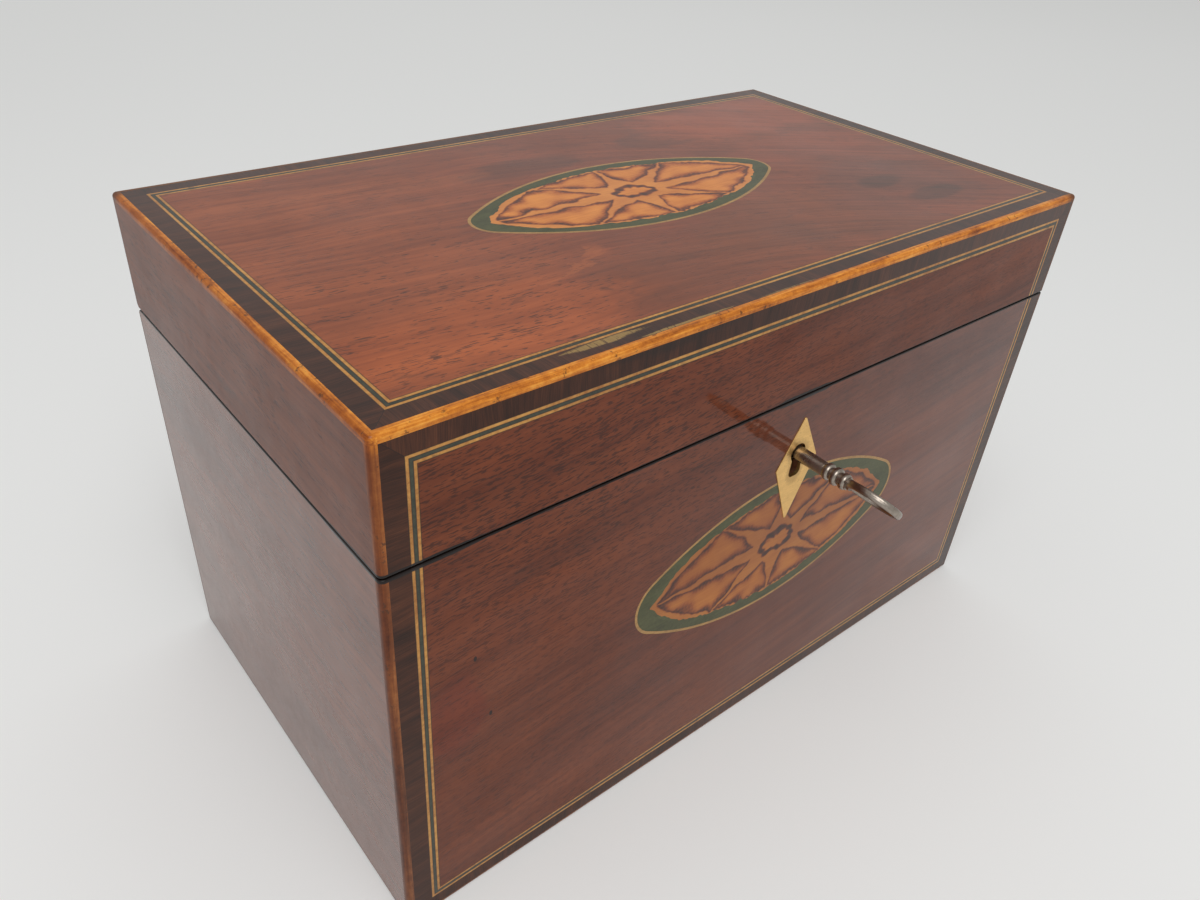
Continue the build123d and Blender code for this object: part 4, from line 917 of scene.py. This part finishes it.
dress(top_mahogany(), "lid_top_veneer")
dress(shaded_front_mahogany(), "lid_front_veneer", "box_front_veneer")
dress(shaded_side_mahogany(), "lid_plain_veneers", "box_plain_veneers")
dress(kingwood(), "lid_crossbands", "box_crossbands")
dress(stringing("stringing_boxwood", (0.310, 0.115, 0.022), (0.600, 0.295, 0.068), 101),
      "lid_boxwood_lines", "box_boxwood_lines")
dress(stringing("stringing_green_black", (0.020, 0.022, 0.014), (0.052, 0.056, 0.034), 105),
      "lid_green_lines", "box_green_lines")
dress(oval_wood("patera_boxwood_line", (0.250, 0.125, 0.034), (0.480, 0.270, 0.085), 111,
                (0.110, 0.060, 0.024)), "lid_patera_line", "front_patera_line")
dress(oval_wood("patera_green_stained", *BAND_GREENS, 115, (0.100, 0.082, 0.034)),
      "lid_patera_green_band", "front_patera_green_band")
dress(edging_wood(), "lid_edging", "box_edging")
dress(plain_wood("carcass_mahogany", *CARCASS, "x", 121),
      "box_front_board", "box_back_board", "lid_front_board", "lid_back_board", "lid_top_board")
dress(plain_wood("carcass_mahogany_sides", *CARCASS, "y", 124),
      "box_left_board", "box_right_board", "lid_left_board", "lid_right_board")
dress(plain_wood("base_pine_darkened", (0.200, 0.125, 0.066), (0.360, 0.245, 0.140), "x", 127,
                 coat=0.0, pores=0.3), "box_bottom_board")
dress(plain_wood("fitting_mahogany", (0.120, 0.040, 0.018), (0.240, 0.095, 0.042), "y", 130),
      "partitions", "ledges")
dress(plain_wood("deck_mahogany", (0.130, 0.042, 0.018), (0.265, 0.100, 0.042), "x", 133,
                 coat=0.8, coat_rough=0.12), "bowl_deck")
dress(plain_wood("cover_mahogany", (0.135, 0.040, 0.016), (0.290, 0.098, 0.036), "x", 136,
                 coat=0.9, coat_rough=0.1), "left_cover_board", "right_cover_board")
dress(plain_wood("lining_mahogany", (0.140, 0.052, 0.024), (0.270, 0.115, 0.052), "x", 139,
                 coat=0.6, coat_rough=0.2), "lid_lining")
dress(stringing("cover_boxwood_line", (0.360, 0.200, 0.070), (0.620, 0.400, 0.160), 141),
      "left_cover_line", "right_cover_line")
dress(escutcheon_metal(), "escutcheon")
dress(metal("key_steel_worn", (0.235, 0.195, 0.160), (0.450, 0.395, 0.340), 0.28, 151,
            (0.105, 0.072, 0.050)), "key")
dress(metal("hinge_brass_aged", (0.430, 0.290, 0.110), (0.680, 0.490, 0.220), 0.34, 155,
            (0.150, 0.090, 0.040)), "hinge_box_leaves", "hinge_lid_leaves", "hinge_pins")
dress(metal("lock_brass_aged", (0.440, 0.300, 0.115), (0.700, 0.510, 0.235), 0.30, 159,
            (0.160, 0.095, 0.045)), "lock_case", "lock_cap", "lock_selvedge", "link_plate", "link_hooks")
dress(metal("lock_steel_dark", (0.200, 0.190, 0.180), (0.380, 0.365, 0.350), 0.36, 163,
            (0.110, 0.075, 0.055)), "lock_bolt", "lock_drill_pin", "lock_spring")
dress(metal("screw_steel_dull", (0.190, 0.175, 0.160), (0.360, 0.340, 0.320), 0.38, 167,
            (0.120, 0.080, 0.055)), "box_screws", "lid_screws")
dress(foil_metal(), "foil_linings")
dress(bone(), "left_cover_knob", "right_cover_knob")
dress(bowl_glass(), "glass_bowl")

# Each inlay's sheet: its middle, then its two axes, the axis it faces and the side it faces
satin = satinwood()
for sheet_name, node_name, ground_name, centre, plane, body, seed, under_plate in (
        ("lid_patera_sheet", "lid_patera_petals", "lid_patera_ground",
         LID_PATERA, (0, 1, 2, 1), "lid", 11, False),
        ("front_patera_sheet", "front_patera_petals", "front_patera_ground",
         FRONT_PATERA, (0, 2, 1, -1), "box", 23, True)):
    sheet = patera_sheet(sheet_name, node_name, centre, plane, seed, under_plate)
    sheet.data.materials.append(satin)
    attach(sheet, body)
    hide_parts(node_name, ground_name)


# Floor, light and camera

def floor():
    """A plain pale floor, a little paler towards the back."""
    mesh = bpy.data.meshes.new("floor")
    reach = FLOOR_REACH
    mesh.from_pydata([(-reach, -reach, 0), (reach, -reach, 0), (reach, reach, 0), (-reach, reach, 0)], [],
                     [(0, 1, 2, 3)])
    plane = bpy.data.objects.new("floor", mesh)
    plane.location.z = -FLOOR_DROP
    bpy.context.scene.collection.objects.link(plane)
    p = Paint("floor_pale")
    back = p.plus(p.times(p.x, 0.55), p.times(p.y, 0.61))
    colour = p.mix(p.smooth(back, 150.0, 1100.0), (0.880, 0.885, 0.880), (0.960, 0.965, 0.960))
    mesh.materials.append(p.finish(colour, 0.9, specular=0.0))


def world_light():
    world = bpy.data.worlds.new("studio")
    bpy.context.scene.world = world
    world.use_nodes = True
    background = world.node_tree.nodes["Background"]
    background.inputs["Color"].default_value = (1.0, 1.0, 0.99, 1)
    background.inputs["Strength"].default_value = WORLD_STRENGTH


def softbox():
    light = bpy.data.lights.new("overhead_softbox", "AREA")
    light.shape = "SQUARE"
    light.size = LAMP_SIZE
    light.energy = LAMP_POWER
    holder = bpy.data.objects.new("overhead_softbox", light)
    holder.location = LAMP_PLACE
    direction = Vector(LAMP_TARGET) - Vector(LAMP_PLACE)
    holder.rotation_euler = direction.to_track_quat("-Z", "Y").to_euler()
    bpy.context.scene.collection.objects.link(holder)


def camera():
    """The photograph's viewpoint, fitted to the box's outline, seam and lines."""
    data = bpy.data.cameras.new("camera")
    data.sensor_fit = "HORIZONTAL"
    data.sensor_width = SENSOR_WIDTH
    data.lens = FOCAL_PIXELS / PHOTO_WIDTH * SENSOR_WIDTH
    data.clip_start = 0.01
    holder = bpy.data.objects.new("camera", data)
    holder.matrix_world = Matrix((
        (0.77176, 0.31821, -0.55057, -0.19299),
        (-0.63260, 0.47240, -0.61372, -0.20707),
        (0.06480, 0.82194, 0.56588, 0.26118),
        (0, 0, 0, 1),
    ))
    bpy.context.scene.collection.objects.link(holder)
    bpy.context.scene.camera = holder


floor()
world_light()
softbox()
camera()
bpy.context.scene.view_settings.view_transform = "Standard"
